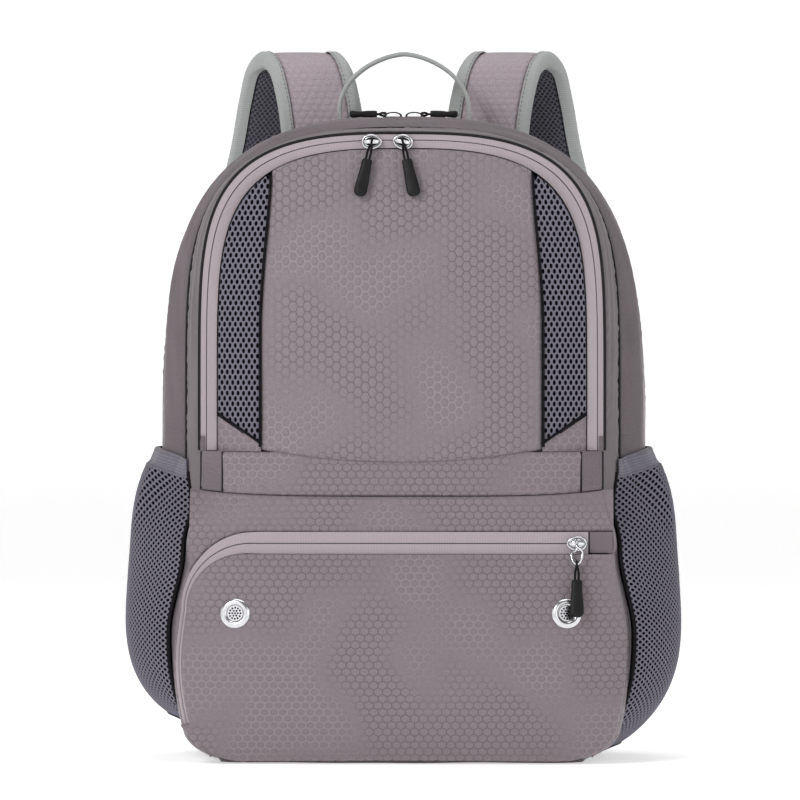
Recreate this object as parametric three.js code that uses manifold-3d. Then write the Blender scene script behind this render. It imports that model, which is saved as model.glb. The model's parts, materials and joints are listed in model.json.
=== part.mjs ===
// Daypack with a main compartment, a front pocket, a shoe pocket and two side mesh pockets.
// Millimetres. +X is to the right seen from the front, -Y is the front, +Z is up.
import * as THREE from 'three';
import { mergeVertices } from 'three/addons/utils/BufferGeometryUtils.js';
import Module from 'manifold-3d';

const wasm = await Module();
wasm.setup();

// ---------------------------------------------------------------- driving dimensions
const CLOTH = 2.5; // a sewn fabric wall with its lining
const TAPE = 2; // zip tape
const GAP = 0.4; // clearance between neighbouring pieces

// Stations of the body from the back to the front: depth, widest half width, top height,
// and the roundness of the arch across and up.
const BODY = [
  { y: 58, half: 160, top: 440, across: 3, up: 2.6 },
  { y: 40, half: 169, top: 448, across: 3, up: 2.6 },
  { y: 15, half: 171, top: 450, across: 3, up: 2.6 },
  { y: -10, half: 166, top: 449, across: 2.7, up: 3.4 },
  { y: -27, half: 152, top: 443, across: 2.45, up: 4.8 },
  { y: -62, half: 140.7, top: 438.5, across: 2.9, up: 5.4 },
];
const MIDDLE = 230; // height of the widest point
const CORNER_TOP = 90; // below this the corners turn in, by this share at the floor
const CORNER_TURN = 0.19;
const BASE_TOP = 4; // top of the base panel
const FLOOR_EDGE = BASE_TOP + 0.5; // where the walls start
const FOLD = 215; // height of the fold that the front half and the front lid open about

const BACK_INNER = 58.6;
const BACK_OUTER = 70;
const MAIN_ZIP = 15; // depth of the main zip's teeth
const MAIN_TAPE = 7; // width of each half of the main zip tape
const PARTITION = -27.3; // back face of the wall between the main compartment and the pockets

const POCKET_FRONT = -62; // plane of the front pocket's zip
const POCKET_CROWN = 22; // how far the front lid bulges
const TEETH_HALF = 136.6; // half width of the front pocket's zip line
const TEETH_TOP = 434.5;
const TAPE_OUTER = 4.2; // zip tape outside the teeth
const TAPE_INNER = 7.2; // zip tape inside the teeth

const SHOE_FRONT = -90; // plane of the shoe pocket's zip
const SHOE_CROWN = 23;
const SHOE_ZIP = 154; // height of the shoe pocket's zip
const SHOE_TAPE = 8;
const SHOE_CORNER = 46; // radius of the zip's turn at the upper left
const SHOE_STRAIGHT_END = -105; // where the straight stretch of that zip meets the turn
const SHOE_ZIP_RIGHT = 130;
const SHOE_ZIP_LOW = 34;
const SEAM = 187; // seam under the yoke

const EYELET_X = 115;
const EYELET_Z = 106;
const EYELET_OUTER = 10.2;
const EYELET_INNER = 5;

const POCKET_BACK = 46; // rear edge of the side mesh pockets
const POCKET_LOW = { left: 31, right: 10 }; // the left pocket ends above the shoe pocket's zip
const POCKET_BULGE = 25.5;
const POCKET_MOUTH = 6.8; // bulge at the elastic edge
const NET_STAND = 3.6; // the net's outer face stands this far off the side at its sewn edges

const STRAP_SIDE = 12; // thickness of a padded shoulder strap
const STRAP_WIDE = 58;
const STRAP_NARROW = 30;
const WEBBING = 25;
// The right strap's centre line, from its seam over the crest and down to its buckle.
const STRAP_ROUTE = [
  [57, 79, 416],
  [58, 79, 434],
  [62, 80, 464],
  [68, 86, 485],
  [76, 97, 492.5],
  [84, 107, 487],
  [90, 114, 464],
  [96, 115, 430],
  [111, 113.5, 370],
  [126, 109, 300],
  [135, 105, 230],
  [138, 100, 178],
];
const YOKE_SIZE = [176, 13, 26]; // padded strip that covers the straps' upper seams
const LOCK_HEIGHT = 28;
const LOCK_HALF = 17; // half width of a ladder lock
const LOCK_SIDE = 3.6; // thickness of a ladder lock
const LOCK_SLOTS = [[-4, -9], [-13, -18], [-21, -25]]; // top and bottom of each slot
const LOCK_DROP = 2.2; // room for the ladder lock to turn below the strap's end
const LOCK_TILT = 0.1;
const TAB_X = 132; // fabric tabs that hold the lower ends of the webbing
const TAB_Z = 34;
const TAB_SIDE = 4;
const HANDLE_Y = 44;
const HANDLE_HALF = 46; // half the distance between the handle's feet
const HANDLE_TOP = 496;
const HANDLE_LIFT = 6; // room under the handle's feet, where its webbing bends
const HANDLE_SIDE = 3; // the handle's webbing is folded and stitched

const POCKET_SLIDER_X = { left: -21, right: 0.7 };
const MAIN_SLIDER_X = 7.4;
const MAIN_GRIP = 20;
const SHOE_SLIDER_X = 122;
const SHOE_PULL_TILT = -0.37;
const BAIL_LENGTH = 15;
const WIRE = 0.65; // radius of the bail's wire
const MAIN_SLIDER_HEIGHT = 0.8; // the main zip's sliders are a little flatter
const MAIN_PULL_HINGE = [-6.3, 3.3]; // from the slider's centre: outwards (negative) and up

// ---------------------------------------------------------------- materials
const SHELL = { color: 0x8a7f84, roughness: 0.62, metalness: 0 };
const SHELL_DARK = { color: 0x6f6a6d, roughness: 0.7, metalness: 0 };
const NET = { color: 0x55535e, roughness: 0.8, metalness: 0 };
const ZIP_TAPE = { color: 0xa69ba1, roughness: 0.75, metalness: 0 };
const BINDING = { color: 0x7c7f7a, roughness: 0.75, metalness: 0 };
const METAL = { color: 0xd5d5d8, roughness: 0.22, metalness: 1 };
const RUBBER = { color: 0x1e1d1f, roughness: 0.55, metalness: 0 };
const FOAM = { color: 0xc9c9c6, roughness: 0.9, metalness: 0 };

const group = new THREE.Group();

function add(name, geometry, look) {
  const mesh = new THREE.Mesh(geometry, new THREE.MeshStandardMaterial(look));
  mesh.name = name;
  group.add(mesh);
  return mesh;
}

// ---------------------------------------------------------------- small maths
const lerp = THREE.MathUtils.lerp;
const point = (x, y, z) => new THREE.Vector3(x, y, z);
const sides = [['left', -1], ['right', 1]];

// 0 below the first value, 1 above the second, smooth between; the two may be in either order.
function ease(value, from, to) {
  const t = THREE.MathUtils.clamp((value - from) / (to - from), 0, 1);
  return t * t * (3 - 2 * t);
}

function steps(from, to, count) {
  return Array.from({ length: count + 1 }, (_, i) => lerp(from, to, i / count));
}

function stationAt(y) {
  const next = BODY.findIndex((station) => station.y <= y);
  const b = BODY[next === -1 ? BODY.length - 1 : next];
  const a = BODY[Math.max(0, (next === -1 ? BODY.length : next) - 1)];
  const t = a === b ? 0 : (a.y - y) / (a.y - b.y);
  const between = (name) => lerp(a[name], b[name], t);
  return { half: between('half'), top: between('top'), across: between('across'), up: between('up') };
}

// ---------------------------------------------------------------- outlines
// The lower corners of the bag turn in towards its base.
function cornerFactor(z) {
  return 1 - CORNER_TURN * Math.max(0, 1 - z / CORNER_TOP) ** 2.4;
}

// An arch with its own roundness across and up: |x/half|^across + |u|^up = 1 above the middle.
function arch({ half, top, across, up }, zLow, count) {
  const dense = [];
  for (const z of steps(zLow, MIDDLE, 40)) dense.push([-half * cornerFactor(z), z]);
  for (const angle of steps(0, Math.PI, 240).slice(1, -1)) {
    const x = -Math.sign(Math.cos(angle)) * half * Math.abs(Math.cos(angle)) ** (2 / across);
    const z = MIDDLE + (top - MIDDLE) * Math.sin(angle) ** (2 / up);
    dense.push([x, z]);
  }
  for (const z of steps(MIDDLE, zLow, 40)) dense.push([half * cornerFactor(z), z]);
  return evenly(dense, count);
}

// Half width of an arch at a height.
function archHalfAt(z, { half, top, across, up }) {
  if (z <= MIDDLE) return half * cornerFactor(z);
  const u = Math.min(1, (z - MIDDLE) / (top - MIDDLE));
  return half * Math.pow(1 - u ** up, 1 / across);
}

// Points along a line at even distances.
function evenly(line, count) {
  const lengths = [0];
  for (let i = 1; i < line.length; i += 1) {
    lengths.push(lengths[i - 1] + Math.hypot(line[i][0] - line[i - 1][0], line[i][1] - line[i - 1][1]));
  }
  const total = lengths[lengths.length - 1];
  let segment = 0;
  return steps(0, total, count).map((distance) => {
    while (segment < line.length - 2 && lengths[segment + 1] < distance) segment += 1;
    const t = (distance - lengths[segment]) / (lengths[segment + 1] - lengths[segment]);
    const [a, b] = [line[segment], line[segment + 1]];
    return [lerp(a[0], b[0], t), lerp(a[1], b[1], t)];
  });
}

// Moves a line to its right-hand side, which is inwards for an arch that starts at the lower left.
function inset(line, distance) {
  const amount = typeof distance === 'function' ? distance : () => distance;
  return line.map(([x, z], i) => {
    const [ax, az] = line[Math.max(0, i - 1)];
    const [bx, bz] = line[Math.min(line.length - 1, i + 1)];
    const length = Math.hypot(bx - ax, bz - az);
    const d = amount(i / (line.length - 1));
    return [x + ((bz - az) / length) * d, z - ((bx - ax) / length) * d];
  });
}

// ---------------------------------------------------------------- solids from sheets
function volumeOf(positions, index) {
  const [a, b, c] = [point(), point(), point()];
  let volume = 0;
  for (let i = 0; i < index.length; i += 3) {
    a.fromArray(positions, index[i] * 3);
    b.fromArray(positions, index[i + 1] * 3);
    c.fromArray(positions, index[i + 2] * 3);
    volume += a.dot(b.cross(c)) / 6;
  }
  return volume;
}

// A closed solid between two grids of points of the same size.
function thickSheet(face, back) {
  const rows = face.length;
  const columns = face[0].length;
  const positions = [];
  for (const row of [...face, ...back]) {
    for (const p of row) positions.push(p.x, p.y, p.z);
  }
  const at = (side, r, c) => (side * rows + r) * columns + c;
  const index = [];
  const quad = (a, b, c, d) => index.push(a, b, c, a, c, d);
  for (let r = 0; r < rows - 1; r += 1) {
    for (let c = 0; c < columns - 1; c += 1) {
      quad(at(0, r, c), at(0, r, c + 1), at(0, r + 1, c + 1), at(0, r + 1, c));
      quad(at(1, r, c), at(1, r + 1, c), at(1, r + 1, c + 1), at(1, r, c + 1));
    }
  }
  const [top, end] = [rows - 1, columns - 1];
  for (let c = 0; c < end; c += 1) {
    quad(at(1, 0, c), at(1, 0, c + 1), at(0, 0, c + 1), at(0, 0, c));
    quad(at(0, top, c), at(0, top, c + 1), at(1, top, c + 1), at(1, top, c));
  }
  for (let r = 0; r < top; r += 1) {
    quad(at(0, r, 0), at(0, r + 1, 0), at(1, r + 1, 0), at(1, r, 0));
    quad(at(0, r + 1, end), at(0, r, end), at(1, r, end), at(1, r + 1, end));
  }
  if (volumeOf(positions, index) < 0) index.reverse();
  const geometry = new THREE.BufferGeometry();
  geometry.setAttribute('position', new THREE.Float32BufferAttribute(positions, 3));
  geometry.setIndex(index);
  geometry.computeVertexNormals();
  return geometry;
}

// A strip that runs round the bag's arch: one outline at each depth, thick towards the inside.
function gusset(depths, outlineAt, thickness) {
  const place = (line, y) => line.map(([x, z]) => point(x, y, z));
  const outer = depths.map((y) => place(outlineAt(y), y));
  const inner = depths.map((y) => place(inset(outlineAt(y), thickness), y));
  return thickSheet(outer, inner);
}

// A wall that faces the front: rows of height between a left and a right edge.
function panel(heights, leftAt, rightAt, columns, depthAt, thickness) {
  const rowAt = (z, back) =>
    steps(leftAt(z), rightAt(z), columns).map((x) => point(x, depthAt(x, z) + back, z));
  return thickSheet(heights.map((z) => rowAt(z, 0)), heights.map((z) => rowAt(z, thickness)));
}

// A flat strip between two lines of the same length that faces the front.
function frontStrip(outerLine, innerLine, outerDepth, innerDepth, thickness) {
  const row = (line, depthAt, back) =>
    line.map(([x, z], i) => point(x, depthAt(i / (line.length - 1)) + back, z));
  const rows = (back) => [row(outerLine, outerDepth, back), row(innerLine, innerDepth, back)];
  return thickSheet(rows(0), rows(thickness));
}

// ---------------------------------------------------------------- joins and cuts
function toSolid(geometry) {
  const bare = geometry.clone();
  bare.deleteAttribute('normal');
  bare.deleteAttribute('uv');
  const merged = mergeVertices(bare, 1e-4);
  return new wasm.Manifold(
    new wasm.Mesh({
      numProp: 3,
      vertProperties: new Float32Array(merged.attributes.position.array),
      triVerts: new Uint32Array(merged.index.array),
    }),
  );
}

function toGeometry(solid) {
  const mesh = solid.getMesh();
  const geometry = new THREE.BufferGeometry();
  geometry.setAttribute('position', new THREE.Float32BufferAttribute(mesh.vertProperties, 3));
  geometry.setIndex(new THREE.Uint32BufferAttribute(mesh.triVerts, 1));
  geometry.computeVertexNormals();
  return geometry;
}

// ---------------------------------------------------------------- body walls
const bodyOutline = (zLow, count) => (y) => arch(stationAt(y), zLow, count);

function buildBack() {
  const slab = (smaller, yFrom, yTo) => {
    const outline = { ...BODY[0], half: BODY[0].half - smaller, top: BODY[0].top - smaller };
    const heights = [FLOOR_EDGE + smaller, 14, 25, 45, 90, MIDDLE, 290, 340, 375, 400, 418, 430];
    heights.push(outline.top - 4, outline.top - 1);
    const halfAt = (z) => archHalfAt(z - smaller / 2, outline) - smaller / 4;
    return panel(heights, (z) => -halfAt(z), halfAt, 2, () => yFrom, yTo - yFrom);
  };
  const shell = toSolid(slab(0, BACK_INNER, BACK_OUTER));
  const hollow = toSolid(slab(3, BACK_INNER - 5, BACK_OUTER - 3.2));
  add('back_panel', toGeometry(shell.subtract(hollow)), NET);
  add('back_lining', slab(4.2, BACK_INNER + 0.2, BACK_INNER + 1.8), SHELL_DARK);
  add('back_foam', slab(4.6, BACK_INNER + 2.2, BACK_OUTER - 3.6), FOAM);
}

function buildMainCompartment() {
  const tapeBack = MAIN_ZIP + MAIN_TAPE;
  const rearDepths = [BODY[0].y, 50, BODY[1].y, tapeBack + GAP];
  add('rear_gusset', gusset(rearDepths, bodyOutline(FLOOR_EDGE, 48), CLOTH), SHELL);

  const tapeOutline = bodyOutline(FOLD + 1, 32);
  add('main_zip_tape_rear', gusset([tapeBack, MAIN_ZIP + 0.3], tapeOutline, TAPE), ZIP_TAPE);
  add('main_zip_tape_front', gusset([MAIN_ZIP - 0.3, MAIN_ZIP - MAIN_TAPE], tapeOutline, TAPE), ZIP_TAPE);
  const frontDepths = [MAIN_ZIP - MAIN_TAPE - GAP, BODY[3].y, -19, BODY[4].y];
  add('front_gusset', gusset(frontDepths, bodyOutline(FOLD + 1, 32), CLOTH), SHELL_DARK);
}

// Outer face of the fixed lower sides, from the rear gusset to the front corner.
function sideAt(y, z) {
  const upper = stationAt(y).half;
  const shoe = lerp(150, 160, ease(z, 150, 90));
  const lower = lerp(171, shoe, ease(y, 30, -75));
  return lerp(upper, lower, ease(z, 195, 150)) * cornerFactor(z);
}

// Depth of the front corner, where the sides meet the front.
function cornerDepth(z) {
  return lerp(POCKET_FRONT, SHOE_FRONT + 4, ease(z, 206, 164));
}

function buildSides() {
  const heights = [FLOOR_EDGE, 10, 20, 34, 55, 85, 115, 140, 165, 180, 195, 206, FOLD];
  const backEdge = MAIN_ZIP + MAIN_TAPE;
  for (const [side, sign] of sides) {
    const frontAt = (z) => cornerDepth(z) + 1.5;
    const depthsAt = (z) => [backEdge, 4, -10, -20, -30, lerp(-30, frontAt(z), 0.5), frontAt(z)];
    const rowAt = (z, inwards) =>
      depthsAt(z).map((y) => point(sign * (sideAt(y, z) - inwards), y, z));
    const outer = heights.map((z) => rowAt(z, 0));
    const inner = heights.map((z) => rowAt(z, CLOTH));
    add(`side_panel_${side}`, thickSheet(outer, inner), SHELL_DARK);
  }
}

function buildBase() {
  const half = 160 * cornerFactor(FLOOR_EDGE) - 0.5;
  const outline = new THREE.Shape();
  const [back, front] = [BACK_OUTER - 2, SHOE_FRONT + 6];
  outline.moveTo(-half, front);
  outline.lineTo(half, front);
  outline.lineTo(half, back);
  outline.lineTo(-half, back);
  outline.closePath();
  add('base_panel', new THREE.ExtrudeGeometry(outline, { depth: BASE_TOP, bevelEnabled: false }), SHELL_DARK);
}

// The wall between the main compartment and the two front pockets, in a fixed and an opening half.
function buildPartition() {
  const inside = CLOTH + 3;
  const depth = () => PARTITION - CLOTH;
  const lowHalf = (z) => sideAt(PARTITION - CLOTH, z) - inside;
  const lowHeights = [FLOOR_EDGE, 12, 25, 45, 90, 140, 165, 190, FOLD - 0.5];
  add('partition_lower', panel(lowHeights, (z) => -lowHalf(z), lowHalf, 2, depth, CLOTH), SHELL_DARK);
  const station = stationAt(PARTITION - CLOTH);
  const half = (z) => archHalfAt(z, station) - 0.4;
  const heights = [FOLD + 1, 260, 310, 350, 380, 402, 418, 429, 435, station.top - 1.5];
  add('partition_upper', panel(heights, (z) => -half(z), half, 2, depth, CLOTH), SHELL_DARK);
}

// ---------------------------------------------------------------- front pocket
const pocketEnd = BODY[BODY.length - 1];
const pocketLine = (half, top) => arch({ ...pocketEnd, half, top }, FOLD + 3, 32);
const flat = (depth) => () => depth;

function buildPocketWalls() {
  const from = PARTITION - CLOTH - GAP;
  const depths = [from, lerp(from, POCKET_FRONT, 0.5), POCKET_FRONT];
  add('pocket_gusset', gusset(depths, bodyOutline(FOLD + 1, 32), CLOTH), SHELL_DARK);

  const face = POCKET_FRONT - TAPE - 0.3;
  const outer = pocketLine(TEETH_HALF + TAPE_OUTER, TEETH_TOP + TAPE_OUTER);
  const outerTeeth = pocketLine(TEETH_HALF + 0.3, TEETH_TOP + 0.3);
  add('pocket_zip_tape_outer', frontStrip(outer, outerTeeth, flat(face), flat(face), TAPE), ZIP_TAPE);
}

// Front face of the lid of the front pocket.
function lidDepth(x, z) {
  const across = 1 - Math.min(1, Math.abs(x) / 130) ** 3;
  const up = 1 - Math.max(0, (z - MIDDLE) / 201) ** 3.5;
  return POCKET_FRONT - 2.3 - POCKET_CROWN * across * Math.max(0, up);
}

// Inner edge of each net panel: it leans in towards the top.
function netEdge(z) {
  return 98 - 8 * ease(z, 300, 430);
}

function buildLid() {
  const innerHalf = TEETH_HALF - TAPE_INNER;
  const innerTop = TEETH_TOP - 5.5;
  const face = flat(POCKET_FRONT - TAPE - 0.3);
  const teeth = pocketLine(TEETH_HALF - 0.3, TEETH_TOP - 0.3);
  const tape = frontStrip(teeth, pocketLine(innerHalf, innerTop), face, face, TAPE);
  add('pocket_zip_tape_inner', tape, ZIP_TAPE);

  const lidOutline = { ...pocketEnd, half: innerHalf - 2 * GAP, top: innerTop - 2 * GAP };
  const lidHalf = (z) => archHalfAt(z, lidOutline);
  const netTop = 411;
  const edge = (z) => (z <= netTop ? netEdge(z) : lidHalf(z));
  const heights = [...steps(211, 390, 9), 403, netTop, netTop + 0.5, 418, 423, innerTop - 2.8];
  const sag = (x, z) => z + 8 * (x / 97) ** 2 * ease(z, 240, 211);
  const centre = (back) =>
    heights.map((z) =>
      steps(-edge(z), edge(z), 10).map((x) => point(x, lidDepth(x, z) + back, sag(x, z))),
    );
  add('centre_panel', thickSheet(centre(0), centre(CLOTH)), SHELL);

  const netHeights = [...steps(FOLD + 4.5, 390, 8), 403, netTop - 2];
  for (const [side, sign] of sides) {
    const inner = (z) => sign * (netEdge(z) + GAP);
    const outer = (z) => sign * lidHalf(z);
    add(`mesh_panel_${side}`, panel(netHeights, inner, outer, 3, lidDepth, CLOTH), NET);
  }
}

// ---------------------------------------------------------------- fixed front below the fold
function frontEdge(z) {
  return sideAt(cornerDepth(z), z) - 0.2;
}

// Front face of the yoke and the band: crowned at the yoke, flat at the shoe pocket's zip.
function lowFrontDepth(x, z) {
  const edge = cornerDepth(z) - 3.4;
  const centre = lerp(POCKET_FRONT - 2.3 - POCKET_CROWN, SHOE_FRONT - TAPE - 0.3, ease(z, 212, 166));
  return lerp(edge, centre, 1 - Math.min(1, Math.abs(x) / frontEdge(z)) ** 3.2);
}

function buildLowFront() {
  const patchIn = 125;
  const seamRise = (x) => 6 * (x / 150) ** 4;
  const grid = (xs, low, high, rows, back) =>
    steps(0, 1, rows).map((t) =>
      xs.map((x) => {
        const z = lerp(low(x), high(x), t);
        return point(x, lowFrontDepth(x, z) + back, z);
      }),
    );
  const sheet = (xs, low, high, rows) =>
    thickSheet(grid(xs, low, high, rows, 0), grid(xs, low, high, rows, CLOTH));

  const lidFoot = (x) => 210.4 + 8 * (x / 97) ** 2;
  const yokeTop = (x) => Math.min(FOLD - 0.2, lidFoot(x));
  const seam = (x) => SEAM + seamRise(x);
  add('front_yoke', sheet(steps(-patchIn, patchIn, 12), (x) => seam(x) + GAP, yokeTop, 2), SHELL);
  for (const [side, sign] of sides) {
    const xs = steps(sign * (patchIn + GAP), sign * 139.5, 2);
    add(`zip_end_patch_${side}`, sheet(xs, (x) => seam(x) + GAP, () => FOLD - 0.2, 2), SHELL_DARK);
  }

  // The floor of the front pocket is the roof of the shoe pocket.
  const floorFront = (x) => lowFrontDepth(x, SEAM) + CLOTH + 2;
  const floorBack = PARTITION - CLOTH - GAP;
  const floorRow = (share, z) =>
    steps(-1, 1, 8).map((side) => {
      const x = side * (sideAt(-60, SEAM) - CLOTH - 6);
      return point(x, lerp(floorBack, floorFront(x), share), z);
    });
  const floorAt = (z) => [0, 1].map((share) => floorRow(share, z));
  add('pocket_floor', thickSheet(floorAt(SEAM), floorAt(SEAM - CLOTH)), SHELL_DARK);

  const turn = SHOE_CORNER + SHOE_TAPE + GAP;
  const bandFoot = (x) => {
    const past = Math.max(0, SHOE_STRAIGHT_END - x);
    return SHOE_ZIP - SHOE_CORNER + Math.sqrt(Math.max(0, turn ** 2 - past ** 2));
  };
  const bandXs = [...steps(-147, SHOE_STRAIGHT_END, 5), ...steps(SHOE_STRAIGHT_END, 147, 8).slice(1)];
  add('front_band', sheet(bandXs, bandFoot, (x) => seam(x) - GAP, 5), SHELL);
}

// ---------------------------------------------------------------- shoe pocket
// The zip line, from the lower left up the side, round the turn and along to the right.
function shoeZipLine() {
  const line = [];
  for (const z of steps(SHOE_ZIP_LOW, SHOE_ZIP - SHOE_CORNER, 20)) line.push([shoeLeft(z), z]);
  for (const angle of steps(Math.PI, Math.PI / 2, 20).slice(1)) {
    line.push([
      SHOE_STRAIGHT_END + SHOE_CORNER * Math.cos(angle),
      SHOE_ZIP - SHOE_CORNER + SHOE_CORNER * Math.sin(angle),
    ]);
  }
  line.push([SHOE_ZIP_RIGHT, SHOE_ZIP]);
  return evenly(line, 48);
}

// Left edge of the shoe pocket's lid.
function shoeLeft(z) {
  const low = SHOE_ZIP - SHOE_CORNER;
  if (z >= low) return SHOE_STRAIGHT_END - Math.sqrt(Math.max(0, SHOE_CORNER ** 2 - (z - low) ** 2));
  return -(SHOE_CORNER - SHOE_STRAIGHT_END + 7 * ease(z, low, 72)) * cornerFactor(z);
}

function shoeRight(z) {
  return lerp(150, 160, ease(z, 150, 90)) * cornerFactor(z) - 1.5;
}

function shoeDepth(x, z) {
  const across = 1 - Math.min(1, Math.abs(x) / 158) ** 6;
  const up = Math.sin(Math.PI * THREE.MathUtils.clamp((z + 8) / (SHOE_ZIP + 8), 0, 1)) ** 0.8;
  const foot = lerp(6, 0, ease(z, 4, 40));
  return SHOE_FRONT - 2.3 + foot - SHOE_CROWN * across * up;
}

function buildShoePocket() {
  const line = shoeZipLine();
  const face = SHOE_FRONT - TAPE - 0.3;
  const turned = (t) => ease(t, 0.42, 0.22); // 1 on the side stretch, 0 on the straight one
  const outer = inset(line, (t) => -0.3 - (SHOE_TAPE - 0.3) * (1 - 0.75 * turned(t)));
  const outerDepth = (t) => face + 3 * turned(t);
  add('shoe_zip_tape_upper', frontStrip(outer, inset(line, -0.3), outerDepth, flat(face), TAPE), ZIP_TAPE);
  const inner = inset(line, SHOE_TAPE - 1);
  add('shoe_zip_tape_lower', frontStrip(inset(line, 0.3), inner, flat(face), flat(face), TAPE), ZIP_TAPE);

  const patch = (back) =>
    [SHOE_ZIP - 6.5, SHOE_ZIP + 8].map((z) =>
      steps(SHOE_ZIP_RIGHT + 1, 147, 2).map((x) => point(x, face + back, z)),
    );
  add('shoe_zip_end_patch', thickSheet(patch(0), patch(TAPE)), SHELL_DARK);

  const top = SHOE_ZIP - SHOE_TAPE + 0.5;
  const leftEdge = (z) => {
    const low = SHOE_ZIP - SHOE_CORNER;
    const radius = SHOE_CORNER - SHOE_TAPE + 0.5;
    if (z >= low) return SHOE_STRAIGHT_END - Math.sqrt(Math.max(0, radius ** 2 - (z - low) ** 2));
    return shoeLeft(z) + (SHOE_TAPE - 0.5);
  };
  const heights = [FLOOR_EDGE + 0.2, 9, 16, 26, 40, 58, 76, 94, 108, 120, 130, 138, 143, top];
  const plain = panel(heights, leftEdge, shoeRight, 16, shoeDepth, CLOTH);
  let solid = toSolid(plain);
  for (const [side, sign] of sides) {
    const frame = surfaceFrame(sign * EYELET_X, EYELET_Z);
    const drill = new THREE.CylinderGeometry(EYELET_INNER + 1.6, EYELET_INNER + 1.6, 20, 20);
    drill.rotateX(Math.PI / 2);
    drill.applyMatrix4(frame);
    solid = solid.subtract(toSolid(drill));
    addEyelet(side, frame);
  }
  add('shoe_panel', toGeometry(solid), SHELL);
}

// A frame on the shoe panel's face: Z points straight out of the cloth, towards the front.
function surfaceFrame(x, z) {
  const step = 1;
  const alongX = point(2 * step, shoeDepth(x + step, z) - shoeDepth(x - step, z), 0);
  const alongZ = point(0, shoeDepth(x, z + step) - shoeDepth(x, z - step), 2 * step);
  const out = alongX.clone().cross(alongZ).normalize();
  const across = alongX.normalize();
  const up = out.clone().cross(across);
  const frame = new THREE.Matrix4().makeBasis(across, up, out);
  return frame.setPosition(x, shoeDepth(x, z), z);
}

function addEyelet(side, frame) {
  const lipFront = 1.7;
  const lipBack = -CLOTH - 1.2;
  const profile = [
    [EYELET_INNER, lipBack - 1.4],
    [EYELET_OUTER - 2.4, lipBack - 1.4],
    [EYELET_OUTER - 2.4, lipBack],
    [EYELET_INNER + 1.1, lipBack],
    [EYELET_INNER + 1.1, 0.6],
    [EYELET_OUTER, 0.6],
    [EYELET_OUTER - 0.6, lipFront],
    [EYELET_INNER + 0.6, lipFront + 0.3],
    [EYELET_INNER, lipFront - 0.8],
    [EYELET_INNER, lipBack - 1.4],
  ];
  const ring = new THREE.LatheGeometry(profile.map(([r, h]) => new THREE.Vector2(r, h)), 16);
  ring.rotateX(Math.PI / 2);
  ring.applyMatrix4(frame);
  add(`eyelet_${side}`, ring, METAL);

  const ringOf = (x, y, radius, corners) =>
    steps(0, 2 * Math.PI, corners)
      .slice(1)
      .map((a) => new THREE.Vector2(x + radius * Math.cos(a), y + radius * Math.sin(a)));
  const disc = new THREE.Shape(ringOf(0, 0, EYELET_INNER - 0.4, 16));
  const hole = (x, y) => disc.holes.push(new THREE.Path(ringOf(x, y, 0.62, 6).reverse()));
  hole(0, 0);
  for (const [count, radius] of [[6, 1.75], [12, 3.4]]) {
    for (let i = 0; i < count; i += 1) {
      const angle = (2 * Math.PI * i) / count;
      hole(radius * Math.cos(angle), radius * Math.sin(angle));
    }
  }
  const screen = new THREE.ExtrudeGeometry(disc, { depth: 0.6, bevelEnabled: false });
  screen.translate(0, 0, -2.4);
  screen.applyMatrix4(frame);
  add(`eyelet_screen_${side}`, screen, METAL);
}

// ---------------------------------------------------------------- side mesh pockets
function pocketFront(z) {
  return lerp(-40, SHOE_FRONT + 4, ease(z, 205, 140)) + 4 * ease(z, 90, 40);
}

function pocketBulge(z, bottom) {
  const centre = 125;
  const high = POCKET_MOUTH + (POCKET_BULGE - POCKET_MOUTH) * (1 - Math.abs((z - centre) / 84) ** 2.2);
  const low = POCKET_BULGE * Math.max(0, 1 - Math.abs((z - centre) / (centre - bottom + 2)) ** 3) ** 0.6;
  return z > centre ? Math.max(POCKET_MOUTH, high) : low;
}

// Outer face of the net at a share of the way from its front edge to its back edge.
function netFace(share, z, side, inwards) {
  const sign = side === 'left' ? -1 : 1;
  const y = lerp(pocketFront(z), POCKET_BACK, share);
  const belly = pocketBulge(z, POCKET_LOW[side]) * Math.sin(Math.PI * share) ** 0.75;
  return point(sign * (sideAt(y, z) + NET_STAND + belly - inwards), y, z);
}

function buildSidePockets() {
  const rise = (share) => 7 * ease(share, 0, 0.45);
  const heights = steps(0, 1, 11);
  for (const [side] of sides) {
    const shares = steps(0, 1, 9);
    const heightAt = (share, t) => lerp(POCKET_LOW[side], 198.5 + rise(share), t);
    const net = (inwards) =>
      heights.map((t) => shares.map((share) => netFace(share, heightAt(share, t), side, inwards)));
    add(`mesh_pocket_${side}`, thickSheet(net(0), net(TAPE)), NET);
    const band = (inwards) =>
      [199, 211].map((z) => shares.map((share) => netFace(share, z + rise(share), side, inwards)));
    add(`elastic_binding_${side}`, thickSheet(band(0), band(TAPE)), BINDING);
  }
}

// ---------------------------------------------------------------- zip hardware
// A slider: a shield-shaped plate with an arched bridge on its face. Its length is along X, face to +Z.
const SLIDER_LENGTH = 12.6;
const SLIDER_WIDTH = 9;
const SLIDER_PLATE = 3;
const BRIDGE_BAR = 1.6;
const BRIDGE_RISE = 3.5; // clear height under the bridge's bar

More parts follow.
